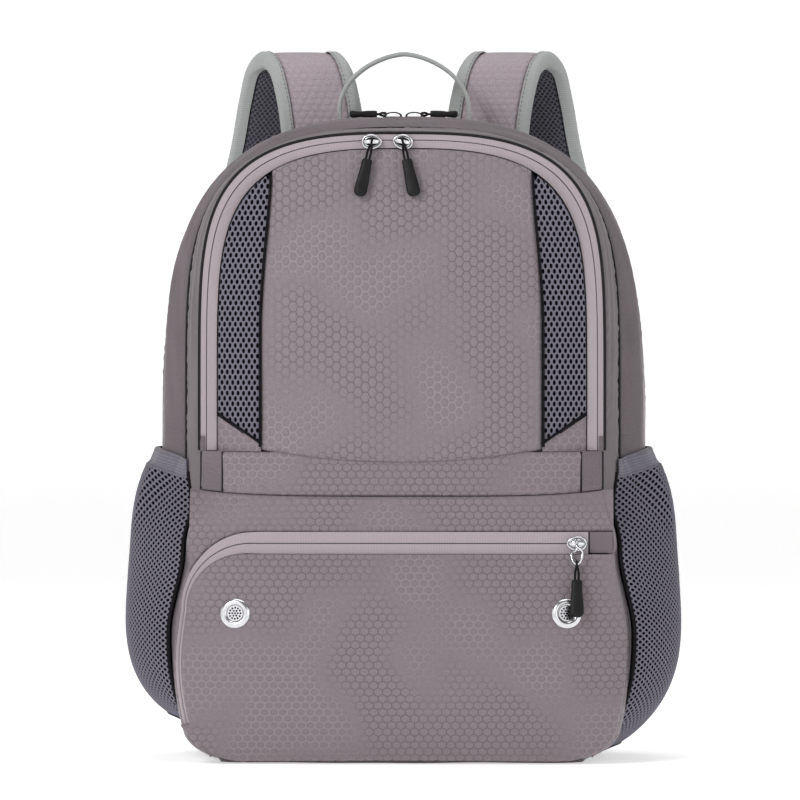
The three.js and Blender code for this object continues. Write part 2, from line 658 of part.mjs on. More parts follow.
function sliderGeometry() {
  const plate = new THREE.Shape();
  const [half, wide] = [SLIDER_LENGTH / 2, SLIDER_WIDTH / 2];
  plate.moveTo(-half, -wide * 0.55);
  plate.lineTo(-half + 2, -wide * 0.6);
  plate.quadraticCurveTo(half * 0.5, -wide, half, -wide);
  plate.quadraticCurveTo(half - 1.4, 0, half, wide);
  plate.quadraticCurveTo(half * 0.5, wide, -half + 2, wide * 0.6);
  plate.lineTo(-half, wide * 0.55);
  plate.closePath();
  const flat = { depth: SLIDER_PLATE, bevelEnabled: false, curveSegments: 5 };
  const body = new THREE.ExtrudeGeometry(plate, flat);

  const bridge = new THREE.Shape();
  const high = SLIDER_PLATE + BRIDGE_RISE;
  const foot = SLIDER_PLATE - 0.6;
  bridge.moveTo(-5, foot);
  bridge.lineTo(-5, high - 0.6);
  bridge.quadraticCurveTo(-4.6, high + BRIDGE_BAR, -2.6, high + BRIDGE_BAR);
  bridge.lineTo(2.6, high + BRIDGE_BAR);
  bridge.quadraticCurveTo(4.6, high + BRIDGE_BAR, 5, high - 0.6);
  bridge.lineTo(5, foot);
  bridge.lineTo(3.4, foot);
  bridge.lineTo(3.4, high);
  bridge.lineTo(-3.4, high);
  bridge.lineTo(-3.4, foot);
  bridge.closePath();
  const bar = { depth: BRIDGE_BAR, bevelEnabled: false, curveSegments: 4 };
  const arched = new THREE.ExtrudeGeometry(bridge, bar);
  arched.translate(0, 0, -BRIDGE_BAR / 2);
  arched.rotateX(Math.PI / 2);
  return toGeometry(toSolid(body).add(toSolid(arched)));
}

// A curve whose even steps follow its knots, so that tight turns get as many steps as long runs.
class KnotCurve extends THREE.CatmullRomCurve3 {
  getPointAt(u, target) {
    return this.getPoint(u, target);
  }

  getTangentAt(u, target) {
    return this.getTangent(u, target);
  }
}

// A cord that passes round a bar and comes back, hanging along -Y in its own frame.
function cordLoop(length, bend, radius, spread) {
  const arc = steps(0, Math.PI, 5).map((a) => point(0, bend * Math.sin(a), bend * Math.cos(a)));
  const points = [
    point(0, -length, spread),
    point(0, -length * 0.5, lerp(spread, bend, 0.6)),
    ...arc,
    point(0, -length * 0.5, -lerp(spread, bend, 0.6)),
    point(0, -length, -spread),
  ];
  return tube(new KnotCurve(points, false, 'centripetal'), radius, 18);
}

function tube(path, radius, count, facets = 6) {
  const section = new THREE.Shape();
  for (let i = 0; i < facets; i += 1) {
    const angle = (2 * Math.PI * i) / facets;
    const [x, y] = [radius * Math.cos(angle), radius * Math.sin(angle)];
    if (i === 0) section.moveTo(x, y);
    else section.lineTo(x, y);
  }
  section.closePath();
  return new THREE.ExtrudeGeometry(section, { steps: count, extrudePath: path, bevelEnabled: false });
}

// A moulded grip that hangs along -Y and is flat towards the cloth.
function gripGeometry(length, neck, belly, stem = 0) {
  const profile = [
    [0, -stem],
    ...(stem ? [[CORD, -stem], [CORD, 0]] : []),
    [neck, 0.3],
    [neck + 0.4, length * 0.2],
    [belly, length * 0.6],
    [belly * 0.96, length * 0.86],
    [belly * 0.6, length * 0.97],
    [0, length],
  ];
  const grip = new THREE.LatheGeometry(profile.map(([r, h]) => new THREE.Vector2(r, -h)), 12);
  grip.scale(1, 1, 0.72);
  if (volumeOf(grip.attributes.position.array, grip.index.array) < 0) grip.index.array.reverse();
  return grip;
}

const CORD = 0.85; // radius of a pull's cord
const LOOP = 2.3; // radius of its turn round the bridge
const BRIDGE_AXIS = SLIDER_PLATE + BRIDGE_RISE + BRIDGE_BAR / 2;

// A slider with its pull. `frame` carries slider space: X along the zip, Y towards the bag's top, Z out.
function addSlider(name, frame, nose, look, pull) {
  const slider = sliderGeometry();
  if (nose > 0) slider.rotateZ(Math.PI);
  slider.applyMatrix4(frame);
  add(`${name}_slider_${pull.side}`, slider, look);
  const hang = frame.clone();
  hang.multiply(new THREE.Matrix4().makeTranslation(0, 0, BRIDGE_AXIS));
  hang.multiply(new THREE.Matrix4().makeRotationZ(pull.lean));
  hang.multiply(new THREE.Matrix4().makeRotationX(pull.tilt));
  const cord = cordLoop(pull.cord, LOOP, CORD, 1.05);
  cord.applyMatrix4(hang);
  add(`${name}_pull_cord_${pull.side}`, cord, RUBBER);
  const grip = gripGeometry(pull.grip, 3.1, 4.6);
  grip.translate(0, -pull.cord - 0.4, 0);
  grip.applyMatrix4(hang);
  add(`${name}_pull_grip_${pull.side}`, grip, RUBBER);
}

// A frame from its three axes as [x, y, z] triples and a place.
function frameAt(across, up, out, place) {
  const frame = new THREE.Matrix4().makeBasis(point(...across), point(...up), point(...out));
  return frame.setPosition(...place);
}

function buildPocketSliders() {
  const face = POCKET_FRONT - TAPE - 0.3;
  const drop = 1.2;
  for (const [side, sign] of sides) {
    const place = [POCKET_SLIDER_X[side], face - 0.4, TEETH_TOP - drop];
    const frame = frameAt([1, 0, 0], [0, 0, 1], [0, -1, 0], place);
    addSlider('pocket', frame, sign, METAL, { side, cord: 13, grip: 26, lean: sign * 0.22, tilt: -0.25 });
  }
}

// The main zip's sliders lie on top of the bag with their pulls pointing outwards.
function buildMainSliders() {
  for (const [side, sign] of sides) {
    const place = [sign * MAIN_SLIDER_X, MAIN_ZIP, BODY[2].top + 0.5];
    const frame = frameAt([0, sign, 0], [-sign, 0, 0], [0, 0, 1], place);
    const slider = sliderGeometry();
    slider.rotateZ(Math.PI / 2);
    slider.scale(1, 1, MAIN_SLIDER_HEIGHT);
    slider.applyMatrix4(frame);
    add(`main_slider_${side}`, slider, RUBBER);
    const hang = frame.clone().multiply(new THREE.Matrix4().makeTranslation(0, ...MAIN_PULL_HINGE));
    const pull = gripGeometry(MAIN_GRIP, 2.2, 3.9, 4.5);
    pull.translate(0, -5, 0);
    pull.applyMatrix4(hang);
    add(`main_pull_${side}`, pull, RUBBER);
  }
}

// The shoe pocket's slider carries a wire bail, then a cord, then a grip.
function buildShoeSlider() {
  const face = SHOE_FRONT - TAPE - 0.3;
  const frame = frameAt([1, 0, 0], [0, 0, 1], [0, -1, 0], [SHOE_SLIDER_X, face - 0.4, SHOE_ZIP]);
  const slider = sliderGeometry();
  slider.rotateZ(Math.PI);
  slider.applyMatrix4(frame);
  add('shoe_slider', slider, METAL);

  const hang = frame.clone().multiply(new THREE.Matrix4().makeTranslation(0, 0, BRIDGE_AXIS));
  hang.multiply(new THREE.Matrix4().makeRotationX(SHOE_PULL_TILT));
  const bail = wireBail();
  bail.applyMatrix4(hang);
  add('shoe_pull_bail', bail, METAL);
  const lower = hang.clone().multiply(new THREE.Matrix4().makeTranslation(0, LOOP - BAIL_LENGTH - 2, 0));
  const cord = cordLoop(12, LOOP, CORD, 1.05);
  cord.applyMatrix4(lower);
  add('shoe_pull_cord', cord, RUBBER);
  const grip = gripGeometry(26, 3.1, 4.9);
  grip.translate(0, -12.4, 0);
  grip.applyMatrix4(lower);
  add('shoe_pull_grip', grip, RUBBER);
}

// A split wire ring that hangs on a bridge: edge on where it passes round the bar, face on below.
function wireBail() {
  const half = BAIL_LENGTH / 2 + 1;
  const butt = 0.12; // angle of the gap where the two ends of the wire meet
  const points = steps(butt, 2 * Math.PI - butt, 16).map((angle) => {
    const height = LOOP - half - half * Math.cos(angle);
    const side = 3.6 * Math.sin(angle);
    const twist = (Math.PI / 2) * ease(height, -8, -2.5);
    return point(side * Math.cos(twist), height, side * Math.sin(twist));
  });
  return tube(new KnotCurve(points, false, 'centripetal'), WIRE, 32, 6);
}

// ---------------------------------------------------------------- carrying parts
// A flat band along a path. Its width always lies along `across`, so a leaning path makes a sheared band.
function band(path, count, widthAt, thicknessAt, across, columns = 2) {
  const face = [];
  const back = [];
  for (const t of steps(0, 1, count)) {
    const centre = path.getPointAt(t);
    const along = path.getTangentAt(t);
    const out = across.clone().cross(along).normalize();
    const rowAt = (offset) =>
      steps(-0.5, 0.5, columns).map((s) =>
        centre.clone().addScaledVector(across, s * widthAt(t)).addScaledVector(out, offset),
      );
    face.push(rowAt(thicknessAt(t) / 2));
    back.push(rowAt(-thicknessAt(t) / 2));
  }
  return thickSheet(face, back);
}

function strapPath(sign) {
  const points = STRAP_ROUTE.map(([x, y, z]) => point(sign * x, y, z));
  return new THREE.CatmullRomCurve3(points, false, 'centripetal');
}

function buildStraps() {
  const [yokeWidth, yokeDepth, yokeHeight] = YOKE_SIZE;
  const yoke = new THREE.BoxGeometry(yokeWidth, yokeDepth, yokeHeight, 6, 1, 1);
  const yokeTop = STRAP_ROUTE[0][2] - 2.8;
  yoke.translate(0, BACK_OUTER + GAP + yokeDepth / 2, yokeTop - yokeHeight / 2);
  add('strap_yoke', yoke, SHELL);

  for (const [side, sign] of sides) {
    const path = strapPath(sign);
    const width = (t) => lerp(STRAP_WIDE, STRAP_NARROW, ease(t, 0.5, 0.97));
    const thickness = (t) => lerp(STRAP_SIDE, 5, ease(t, 0.93, 1)) - 7 * ease(t, 0.04, 0);
    add(`shoulder_strap_${side}`, band(path, 30, width, thickness, point(1, 0, 0), 3), SHELL);

    const end = path.getPointAt(1);
    const lock = ladderLock();
    lock.rotateX(LOCK_TILT);
    lock.translate(end.x, end.y, end.z - LOCK_DROP);
    add(`ladder_lock_${side}`, lock, RUBBER);

    const low = point(sign * TAB_X, BACK_OUTER + 3.2, TAB_Z + 12.5);
    const start = point(end.x, end.y - 2.6, end.z - LOCK_HEIGHT - LOCK_DROP - 0.8);
    const sagged = point((low.x + start.x) / 2, (low.y + start.y) / 2 + 5, (low.z + start.z) / 2);
    const route = new THREE.CatmullRomCurve3([start, sagged, low], false, 'centripetal');
    add(`webbing_${side}`, band(route, 10, () => WEBBING, () => 2, point(1, 0, 0), 1), BINDING);
    add(`anchor_tab_${side}`, anchorTab(sign), SHELL_DARK);
  }
}

// A tab of folded cloth whose lower edge is longer on the outer side, where it is sewn into the side seam.
function anchorTab(sign) {
  const outline = [[-15, 11], [15, 11], [6, -16], [-22, -16]].map(
    ([x, z]) => new THREE.Vector2(-sign * x, z),
  );
  const tab = new THREE.ExtrudeGeometry(new THREE.Shape(outline), { depth: TAB_SIDE, bevelEnabled: false });
  tab.rotateX(Math.PI / 2);
  return tab.translate(sign * TAB_X, BACK_OUTER + GAP + TAB_SIDE, TAB_Z);
}

// A ladder lock: a moulded frame with slots. It hangs along -Z below its upper bar.
function ladderLock() {
  const frame = new THREE.Shape();
  frame.moveTo(-LOCK_HALF, 0);
  frame.lineTo(LOCK_HALF, 0);
  frame.lineTo(LOCK_HALF + 1, -LOCK_HEIGHT);
  frame.lineTo(-LOCK_HALF - 1, -LOCK_HEIGHT);
  frame.closePath();
  const slotHalf = LOCK_HALF - 3.5;
  for (const [top, bottom] of LOCK_SLOTS) {
    const slot = new THREE.Path();
    slot.moveTo(-slotHalf, top);
    slot.lineTo(-slotHalf, bottom);
    slot.lineTo(slotHalf, bottom);
    slot.lineTo(slotHalf, top);
    slot.closePath();
    frame.holes.push(slot);
  }
  const body = new THREE.ExtrudeGeometry(frame, { depth: LOCK_SIDE, bevelEnabled: false });
  body.translate(0, 0, -LOCK_SIDE / 2);
  body.rotateX(Math.PI / 2);
  return body;
}

function buildHandle() {
  const foot = BODY[1].top + HANDLE_LIFT;
  const rise = HANDLE_TOP - foot;
  const points = steps(Math.PI, 0, 12).map((angle) => {
    const across = Math.sign(Math.cos(angle)) * Math.abs(Math.cos(angle)) ** 0.85;
    return point(HANDLE_HALF * across, HANDLE_Y, foot + rise * Math.sin(angle) ** 0.9);
  });
  const path = new THREE.CatmullRomCurve3(points, false, 'centripetal');
  add('grab_handle', band(path, 24, () => WEBBING, () => HANDLE_SIDE, point(0, 1, 0), 1), BINDING);
}

buildBack();
buildMainCompartment();
buildSides();
buildBase();
buildPartition();
buildPocketWalls();
buildLid();
buildLowFront();
buildShoePocket();
buildSidePockets();
buildPocketSliders();
buildMainSliders();
buildShoeSlider();
buildStraps();
buildHandle();

export default group;
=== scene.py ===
"""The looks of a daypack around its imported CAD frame.

Shapes are worked out in millimetres in the frame's axes (+X right, -Y front, +Z up) and made in metres.
Sewn cloth stands in for the CAD's plain walls, piece by piece, on the same outlines.
"""

import json
import math
import random

import bpy
import numpy as np
from mathutils import Matrix, Vector

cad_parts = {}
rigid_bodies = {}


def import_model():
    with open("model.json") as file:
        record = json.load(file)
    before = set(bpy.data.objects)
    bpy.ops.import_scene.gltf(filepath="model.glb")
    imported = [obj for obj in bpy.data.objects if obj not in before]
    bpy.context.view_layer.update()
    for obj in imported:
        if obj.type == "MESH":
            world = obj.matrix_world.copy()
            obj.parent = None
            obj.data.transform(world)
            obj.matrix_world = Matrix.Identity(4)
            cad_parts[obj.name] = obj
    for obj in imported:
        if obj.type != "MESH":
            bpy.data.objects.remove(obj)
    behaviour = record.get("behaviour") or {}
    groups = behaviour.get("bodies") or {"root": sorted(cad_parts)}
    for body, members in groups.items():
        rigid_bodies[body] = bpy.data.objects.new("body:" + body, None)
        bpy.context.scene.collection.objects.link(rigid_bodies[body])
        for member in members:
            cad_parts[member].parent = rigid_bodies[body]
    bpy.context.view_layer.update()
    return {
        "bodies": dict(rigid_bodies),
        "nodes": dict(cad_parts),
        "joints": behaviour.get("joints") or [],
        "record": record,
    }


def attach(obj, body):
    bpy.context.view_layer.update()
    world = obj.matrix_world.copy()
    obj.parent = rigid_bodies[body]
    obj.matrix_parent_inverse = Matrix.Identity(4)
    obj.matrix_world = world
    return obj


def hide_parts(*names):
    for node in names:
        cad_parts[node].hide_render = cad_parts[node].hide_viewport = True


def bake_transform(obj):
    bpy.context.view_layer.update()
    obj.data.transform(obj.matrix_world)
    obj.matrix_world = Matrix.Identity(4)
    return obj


MM = 0.001
SIDES = (("left", -1), ("right", 1))
FRONT = (0, -1, 0)
BACK = (0, 1, 0)
FRONT_VIEW = [0, 2]  # x and z of a point: the axes a weave is drawn on when it is seen from the front

# ---------------------------------------------------------------- dimensions shared with the CAD, in mm
STATION_Y = [-62, -27, -10, 15, 40, 58]  # depths at which the bag's arch is given
STATION_HALF = [140.7, 152, 166, 171, 169, 160]  # half the arch's width
STATION_TOP = [438.5, 443, 449, 450, 448, 440]  # the height of its top
STATION_ACROSS = [2.9, 2.45, 2.7, 3, 3, 3]  # its powers: how square its shoulders are
STATION_UP = [5.4, 4.8, 3.4, 2.6, 2.6, 2.6]
MIDDLE = 230  # the height where the arch starts
CORNER_TOP = 90  # the lower corners turn in below this height
CORNER_TURN = 0.19
FLOOR_EDGE = 4.5  # the walls' lower edge
FOLD = 215  # the front half's and the lid's fold line
LEG_TOP = 228  # the cloth beside the fold bends between these two heights
LEG_LOW = 188.5
MAIN_ZIP = 15  # the depth of its teeth
MAIN_TAPE = 7
PARTITION = -27.3  # the depth of the wall behind the front pocket
POCKET_FRONT = -62  # the front pocket's front edge
POCKET_CROWN = 22  # how far its lid bulges
TEETH_HALF = 136.6  # half the width of the front pocket's zip line
TEETH_TOP = 434.5
TAPE_OUTER = 4.2  # the zip tape's width outside and inside the teeth
TAPE_INNER = 7.2
TAPE_BELOW = 5.5  # the same at the top of the arch
SHOE_FRONT = -90  # the shoe pocket's front edge
SHOE_CROWN = 23
SHOE_ZIP = 154  # the height of the shoe zip's straight stretch
SHOE_TAPE = 8
SHOE_CORNER = 46  # the radius of the shoe zip's turn
SHOE_STRAIGHT_END = -105
SHOE_ZIP_RIGHT = 130
SHOE_ZIP_LOW = 28
SEAM = 187  # the height of the seam between yoke and band
EYELET_X = 115
EYELET_Z = 106
EYELET_OUTER = 10.2
EYELET_INNER = 5
POCKET_BACK = 46  # the side pockets' rear edge
POCKET_LOW = {"left": 31, "right": 10}
POCKET_BULGE = 25.5
POCKET_MOUTH = 6.8
NET_STAND = 3.6  # how far the side nets stand off the walls
STRAP_SIDE = 12  # the straps' thickness
STRAP_WIDE = 58
STRAP_NARROW = 30
STRAP_ROUTE = [
    [57, 79, 416],
    [58, 79, 434],
    [62, 80, 464],
    [68, 86, 485],
    [76, 97, 492.5],
    [84, 107, 487],
    [90, 114, 464],
    [96, 115, 430],
    [111, 113.5, 370],
    [126, 109, 300],
    [135, 105, 230],
    [138, 100, 178],
]
HANDLE_Y = 44  # the handle's depth
HANDLE_HALF = 46
HANDLE_TOP = 496
HANDLE_FOOT = 454

# ---------------------------------------------------------------- small maths
def lerp(a, b, t):
    return a + (b - a) * t


def ease(value, start, end):
    """0 at start, 1 at end, smooth between; the two may be in either order."""
    t = np.clip((value - start) / (end - start), 0, 1)
    return t * t * (3 - 2 * t)


def station_at(y):
    """Half width, top height and the two powers of the bag's arch at a depth."""
    stations = (STATION_HALF, STATION_TOP, STATION_ACROSS, STATION_UP)
    return [np.interp(y, STATION_Y, values) for values in stations]


def corner_factor(z):
    """The lower corners of the bag turn in towards its base."""
    return 1 - CORNER_TURN * np.maximum(0, 1 - z / CORNER_TOP) ** 2.4


def foot_factor(z):
    """As corner_factor, for the fuller lower corners of the shoe panel's cloth."""
    return 1 - 0.10 * np.maximum(0, 1 - z / CORNER_TOP) ** 2.4


def run_along(path):
    """Distance from a line's first point to each of its points."""
    return np.concatenate([[0], np.cumsum(np.linalg.norm(np.diff(path, axis=0), axis=1))])


def resampled(values, path, count):
    """Values known at a line's points, taken at `count` even distances along the line."""
    run = run_along(path)
    want = np.linspace(0, run[-1], count)
    return np.stack([np.interp(want, run, values[:, k]) for k in range(values.shape[1])], axis=1)


def evenly(line, count):
    """Points along a line at even distances."""
    line = np.asarray(line, float)
    return resampled(line, line, count)


def unit(vectors):
    return vectors / np.linalg.norm(vectors, axis=-1, keepdims=True)


def coords(*parts):
    """Points from their coordinates; each may be an array or one number."""
    return np.stack(np.broadcast_arrays(*parts), axis=-1)


def upright(line, y):
    """Stands an (x, z) line up at one depth, or at a depth for each point."""
    return coords(line[:, 0], y, line[:, 1])


def power(value, exponent):
    """A power that keeps the value's sign."""
    return np.sign(value) * np.abs(value) ** exponent


def rounded(distance, width):
    """From 0 at an edge to 1 at `width` from it, as a quarter circle."""
    return np.sqrt(1 - (1 - np.clip(distance / width, 0, 1)) ** 2)


def arch(half, top, across, up, low, count):
    """(x, z) points of the bag's arch from its lower left over the top to its lower right."""
    leg = np.linspace(low, MIDDLE, 60)
    leg_x = half * corner_factor(leg)
    angle = np.linspace(0, math.pi, 500)[1:-1]
    x = -half * power(np.cos(angle), 2 / across)
    z = MIDDLE + (top - MIDDLE) * np.sin(angle) ** (2 / up)
    return evenly(np.concatenate([coords(-leg_x, leg), coords(x, z), coords(leg_x, leg)[::-1]]), count)


def arch_half_at(z, half, top, across, up):
    u = np.clip((z - MIDDLE) / (top - MIDDLE), 0, 1)
    return half * (1 - u**up) ** (1 / across) * corner_factor(z)


def waves(s, seed, length, count=5):
    """A smooth random curve from -1 to 1 along a seam, with bumps about `length` apart."""
    rng = random.Random(seed)
    total = np.zeros_like(s, dtype=float)
    for _ in range(count):
        total += np.sin(2 * math.pi * s / (length * rng.uniform(0.6, 1.7)) + rng.uniform(0, 6.3))
    return total / count**0.5 / 1.4


def ripples(x, z, seed, length, count=7):
    """Smooth random dents over a surface, from about -1 to 1."""
    rng = random.Random(seed)
    total = np.zeros(np.broadcast(x, z).shape)
    for _ in range(count):
        angle = rng.uniform(0, math.pi)
        size = length * rng.uniform(0.7, 1.8)
        phase = rng.uniform(0, 6.3)
        total += np.sin(2 * math.pi * (x * math.cos(angle) + z * math.sin(angle)) / size + phase)
    return total / count**0.5 / 1.4


# ---------------------------------------------------------------- materials
class Tree:
    """Short ways to add shader nodes. Inputs are sockets or plain values."""

    def __init__(self, name, roughness=0.7, metallic=0.0, sheen=0.0):
        self.material = bpy.data.materials.new(name)
        self.material.use_nodes = True
        self.nodes = self.material.node_tree.nodes
        self.links = self.material.node_tree.links
        self.shader = self.nodes["Principled BSDF"]
        self.shader.inputs["Roughness"].default_value = roughness
        self.shader.inputs["Metallic"].default_value = metallic
        self.shader.inputs["Sheen Weight"].default_value = sheen
        self.shader.inputs["Sheen Roughness"].default_value = 0.5

    def feed(self, socket, value):
        if isinstance(value, bpy.types.NodeSocket):
            self.links.new(value, socket)
        else:
            socket.default_value = value

    def vector(self, operation, *values):
        node = self.nodes.new("ShaderNodeVectorMath")
        node.operation = operation
        for socket, value in zip(node.inputs, values):
            self.feed(socket, value)
        return node.outputs["Value" if operation in ("LENGTH", "DOT_PRODUCT") else "Vector"]

    def math(self, operation, *values):
        node = self.nodes.new("ShaderNodeMath")
        node.operation = operation
        for socket, value in zip(node.inputs, values):
            self.feed(socket, value)
        return node.outputs[0]

    def ramp(self, value, low, high, to_low=0.0, to_high=1.0):
        """Smoothly from to_low at low to to_high at high."""
        node = self.nodes.new("ShaderNodeMapRange")
        node.interpolation_type = "SMOOTHSTEP"
        for name, number in (("From Min", low), ("From Max", high), ("To Min", to_low), ("To Max", to_high)):
            node.inputs[name].default_value = number
        self.feed(node.inputs["Value"], value)
        return node.outputs["Result"]

    def mix(self, factor, a, b):
        node = self.nodes.new("ShaderNodeMix")
        node.data_type = "RGBA"
        self.feed(node.inputs["Factor"], factor)
        self.feed(node.inputs["A"], a)
        self.feed(node.inputs["B"], b)
        return node.outputs["Result"]

    def noise(self, where, scale, detail=2.0):
        node = self.nodes.new("ShaderNodeTexNoise")
        node.inputs["Scale"].default_value = scale
        node.inputs["Detail"].default_value = detail
        self.feed(node.inputs["Vector"], where)
        return node.outputs["Fac"]

    def cloth_uv(self):
        """Places on the cloth in millimetres."""
        node = self.nodes.new("ShaderNodeUVMap")
        node.uv_map = "cloth"
        return node.outputs["UV"]

    def colour(self, value):
        self.feed(self.shader.inputs["Base Color"], value)

    def bump(self, height, distance, strength=1.0):
        node = self.nodes.new("ShaderNodeBump")
        node.inputs["Distance"].default_value = distance * MM
        node.inputs["Strength"].default_value = strength
        self.feed(node.inputs["Height"], height)
        self.links.new(node.outputs["Normal"], self.shader.inputs["Normal"])

    def staggered(self, share):
        """Places within the cells of two half-shifted grids, from -0.5 to 0.5."""
        cells = []
        for shift in (0.0, 0.5):
            moved = self.vector("SUBTRACT", share, (shift, shift, 0.0))
            cells.append(self.vector("SUBTRACT", self.vector("FRACTION", moved), (0.5, 0.5, 0.0)))
        return cells


def rgb(r, g, b):
    """A linear colour from sRGB values out of 255."""
    def linear(c):
        c /= 255
        return c / 12.92 if c <= 0.04045 else ((c + 0.055) / 1.055) ** 2.4
    return (linear(r), linear(g), linear(b), 1.0)


def hex_edge(tree, where, pitch, flat_top):
    """Distance from the nearest edge of a honeycomb: 0 on the lines, 0.5 in the middle of a cell."""
    tall = 3**0.5
    across = [tall, 1.0, 1.0] if flat_top else [1.0, tall, 1.0]
    narrow = (0.0, 1.0, 0.0) if flat_top else (1.0, 0.0, 0.0)
    slanted = (tall / 2, 0.5, 0.0) if flat_top else (0.5, tall / 2, 0.0)
    share = tree.vector("DIVIDE", where, [pitch * c for c in across])
    edges = []
    for cell in tree.staggered(share):
        size = tree.vector("ABSOLUTE", tree.vector("MULTIPLY", cell, across))
        reach = [tree.vector("DOT_PRODUCT", size, way) for way in (narrow, slanted)]
        edges.append(tree.math("SUBTRACT", 0.5, tree.math("MAXIMUM", *reach)))
    return tree.math("MAXIMUM", *edges)


def ripstop(name, base, flat_top=False, pitch=6.3, squeeze=0.86, contrast=1.0):
    """Honeycomb ripstop: raised threads round slightly puffed cells, lighter or darker by area as painted
    sheen, with the cloth between them painted the other way.
    """
    tree = Tree(name, roughness=0.58, sheen=0.12)
    where = tree.cloth_uv()
    narrowed = tree.vector("DIVIDE", where, (squeeze, 1.0, 1.0) if flat_top else (1.0, squeeze, 1.0))
    edge = hex_edge(tree, narrowed, pitch, flat_top)
    line = tree.ramp(edge, 0.03, 0.10, 1.0, 0.0)
    area = tree.noise(where, 0.011, 1.0)
    mottle = tree.noise(where, 0.9, 3.0)
    # Painted sheen: where glint is high the threads are painted lighter, elsewhere darker, and the cloth
    # under them is painted the other way so the mean brightness stays level.
    glint = tree.ramp(area, 0.42, 0.60)
    grain = tree.ramp(mottle, 0.3, 0.7)
    under_dark = tree.mix(grain, shade(base, 0.92), shade(base, 1.16))
    under_light = tree.mix(grain, shade(base, 0.84), shade(base, 1.08))
    cloth = tree.mix(glint, under_dark, under_light)
    thread = tree.mix(glint, shade(base, 0.5), shade(base, 1.4))
    tree.colour(tree.mix(tree.math("MULTIPLY", line, 0.8 * contrast), cloth, thread))
    puff = tree.ramp(edge, 0.0, 0.30, 0.0, 1.0)
    ridge = tree.math("MULTIPLY", line, 0.35)
    fine = tree.math("MULTIPLY", tree.math("ADD", mottle, tree.noise(where, 0.08, 3.0)), 0.4)
    tree.bump(tree.math("ADD", tree.math("ADD", puff, ridge), fine), 0.4)
    return tree.material


def shade(colour, amount):
    return tuple(c * amount for c in colour[:3]) + (1.0,)


def plain_weave(name, base, roughness=0.72):
    tree = Tree(name, roughness=roughness, sheen=0.1)
    where = tree.cloth_uv()
    mottle = tree.noise(where, 0.8, 4.0)
    cloud = tree.noise(where, 0.03, 2.0)
    tone = tree.math("ADD", tree.math("MULTIPLY", mottle, 0.6), tree.math("MULTIPLY", cloud, 0.4))
    tree.colour(tree.mix(tree.ramp(tone, 0.35, 0.65), shade(base, 0.86), shade(base, 1.12)))
    tree.bump(mottle, 0.18)
    return tree.material


def ribbed(name, base, pitch, along=1, depth=0.25, contrast=0.25, roughness=0.7):
    """Tape or webbing with ribs `pitch` apart along one direction of the cloth."""
    tree = Tree(name, roughness=roughness, sheen=0.15)
    where = tree.cloth_uv()
    split = tree.nodes.new("ShaderNodeSeparateXYZ")
    tree.links.new(where, split.inputs[0])

    def wave(axis, rate):
        turn = tree.math("MULTIPLY", split.outputs[axis], rate)
        return tree.math("MULTIPLY_ADD", tree.math("SINE", turn), 0.5, 0.5)

    rib = wave(along, 2 * math.pi / pitch)
    cross = wave(1 - along, 7.0)
    mottle = tree.noise(where, 0.6, 3.0)
    height = tree.math("ADD", rib, tree.math("MULTIPLY", cross, 0.25))
    tone = tree.math("MULTIPLY_ADD", mottle, 0.5, tree.math("MULTIPLY", rib, 0.5))
    dark, light = shade(base, 1 - contrast), shade(base, 1 + contrast * 0.6)
    tree.colour(tree.mix(tree.ramp(tone, 0.25, 0.75), dark, light))
    tree.bump(height, depth)
    return tree.material


def spacer_net(name, thread, hole, pitch_x, pitch_y):
    """A knitted net drawn on the cloth: oval holes in staggered rows, painted dark as the shade inside them.
    """
    tree = Tree(name, roughness=0.8, sheen=0.1)
    share = tree.vector("DIVIDE", tree.cloth_uv(), (pitch_x, 2 * pitch_y, 1.0))
    ovals = [tree.vector("MULTIPLY", cell, (1.0, 1.35, 0.0)) for cell in tree.staggered(share)]
    near = tree.math("MINIMUM", *[tree.vector("LENGTH", oval) for oval in ovals])
    # The holes take the hole colour: painted shade inside the holes.
    tree.colour(tree.mix(tree.ramp(near, 0.26, 0.36), hole, thread))
    tree.bump(tree.ramp(near, 0.2, 0.45), 0.7)
    return tree.material


def plain(name, colour, roughness, metallic=0.0, grain=0.0, gloss=0.5):
    tree = Tree(name, roughness=roughness, metallic=metallic)
    tree.colour(colour)
    tree.shader.inputs["Specular IOR Level"].default_value = gloss
    if grain:
        place = tree.nodes.new("ShaderNodeTexCoord").outputs["Object"]
        tree.bump(tree.noise(place, 900.0, 3.0), grain)
    return tree.material


SHELL = ripstop("shell ripstop", rgb(111, 100, 105))
TALL_COLOUR = rgb(113, 103, 108)
SHELL_TALL = ripstop("shell ripstop, upright cells", TALL_COLOUR, flat_top=True, pitch=7.0, squeeze=0.83)
PLAIN_SHELL = plain_weave("plain shell cloth", rgb(91, 82, 86))
DARK_SHELL = plain_weave("dark shell cloth", rgb(96, 86, 91))
LINING = plain_weave("lining", rgb(96, 92, 98), roughness=0.8)
ZIP_TAPE = ribbed("zip tape", rgb(152, 141, 146), 1.1, along=0, depth=0.10, contrast=0.10)
COIL = plain("zip coil", rgb(92, 84, 89), 0.5)
THREAD = plain("sewing thread", rgb(112, 105, 110), 0.7)
# Near-black cords laid along seams: painted shade of the gaps at the seams.
SEAM_SHADE = plain("seam cord", rgb(30, 27, 29), 0.8, gloss=0.15)
NET_THREAD = plain("net thread", rgb(100, 97, 109), 0.75, gloss=0.3)
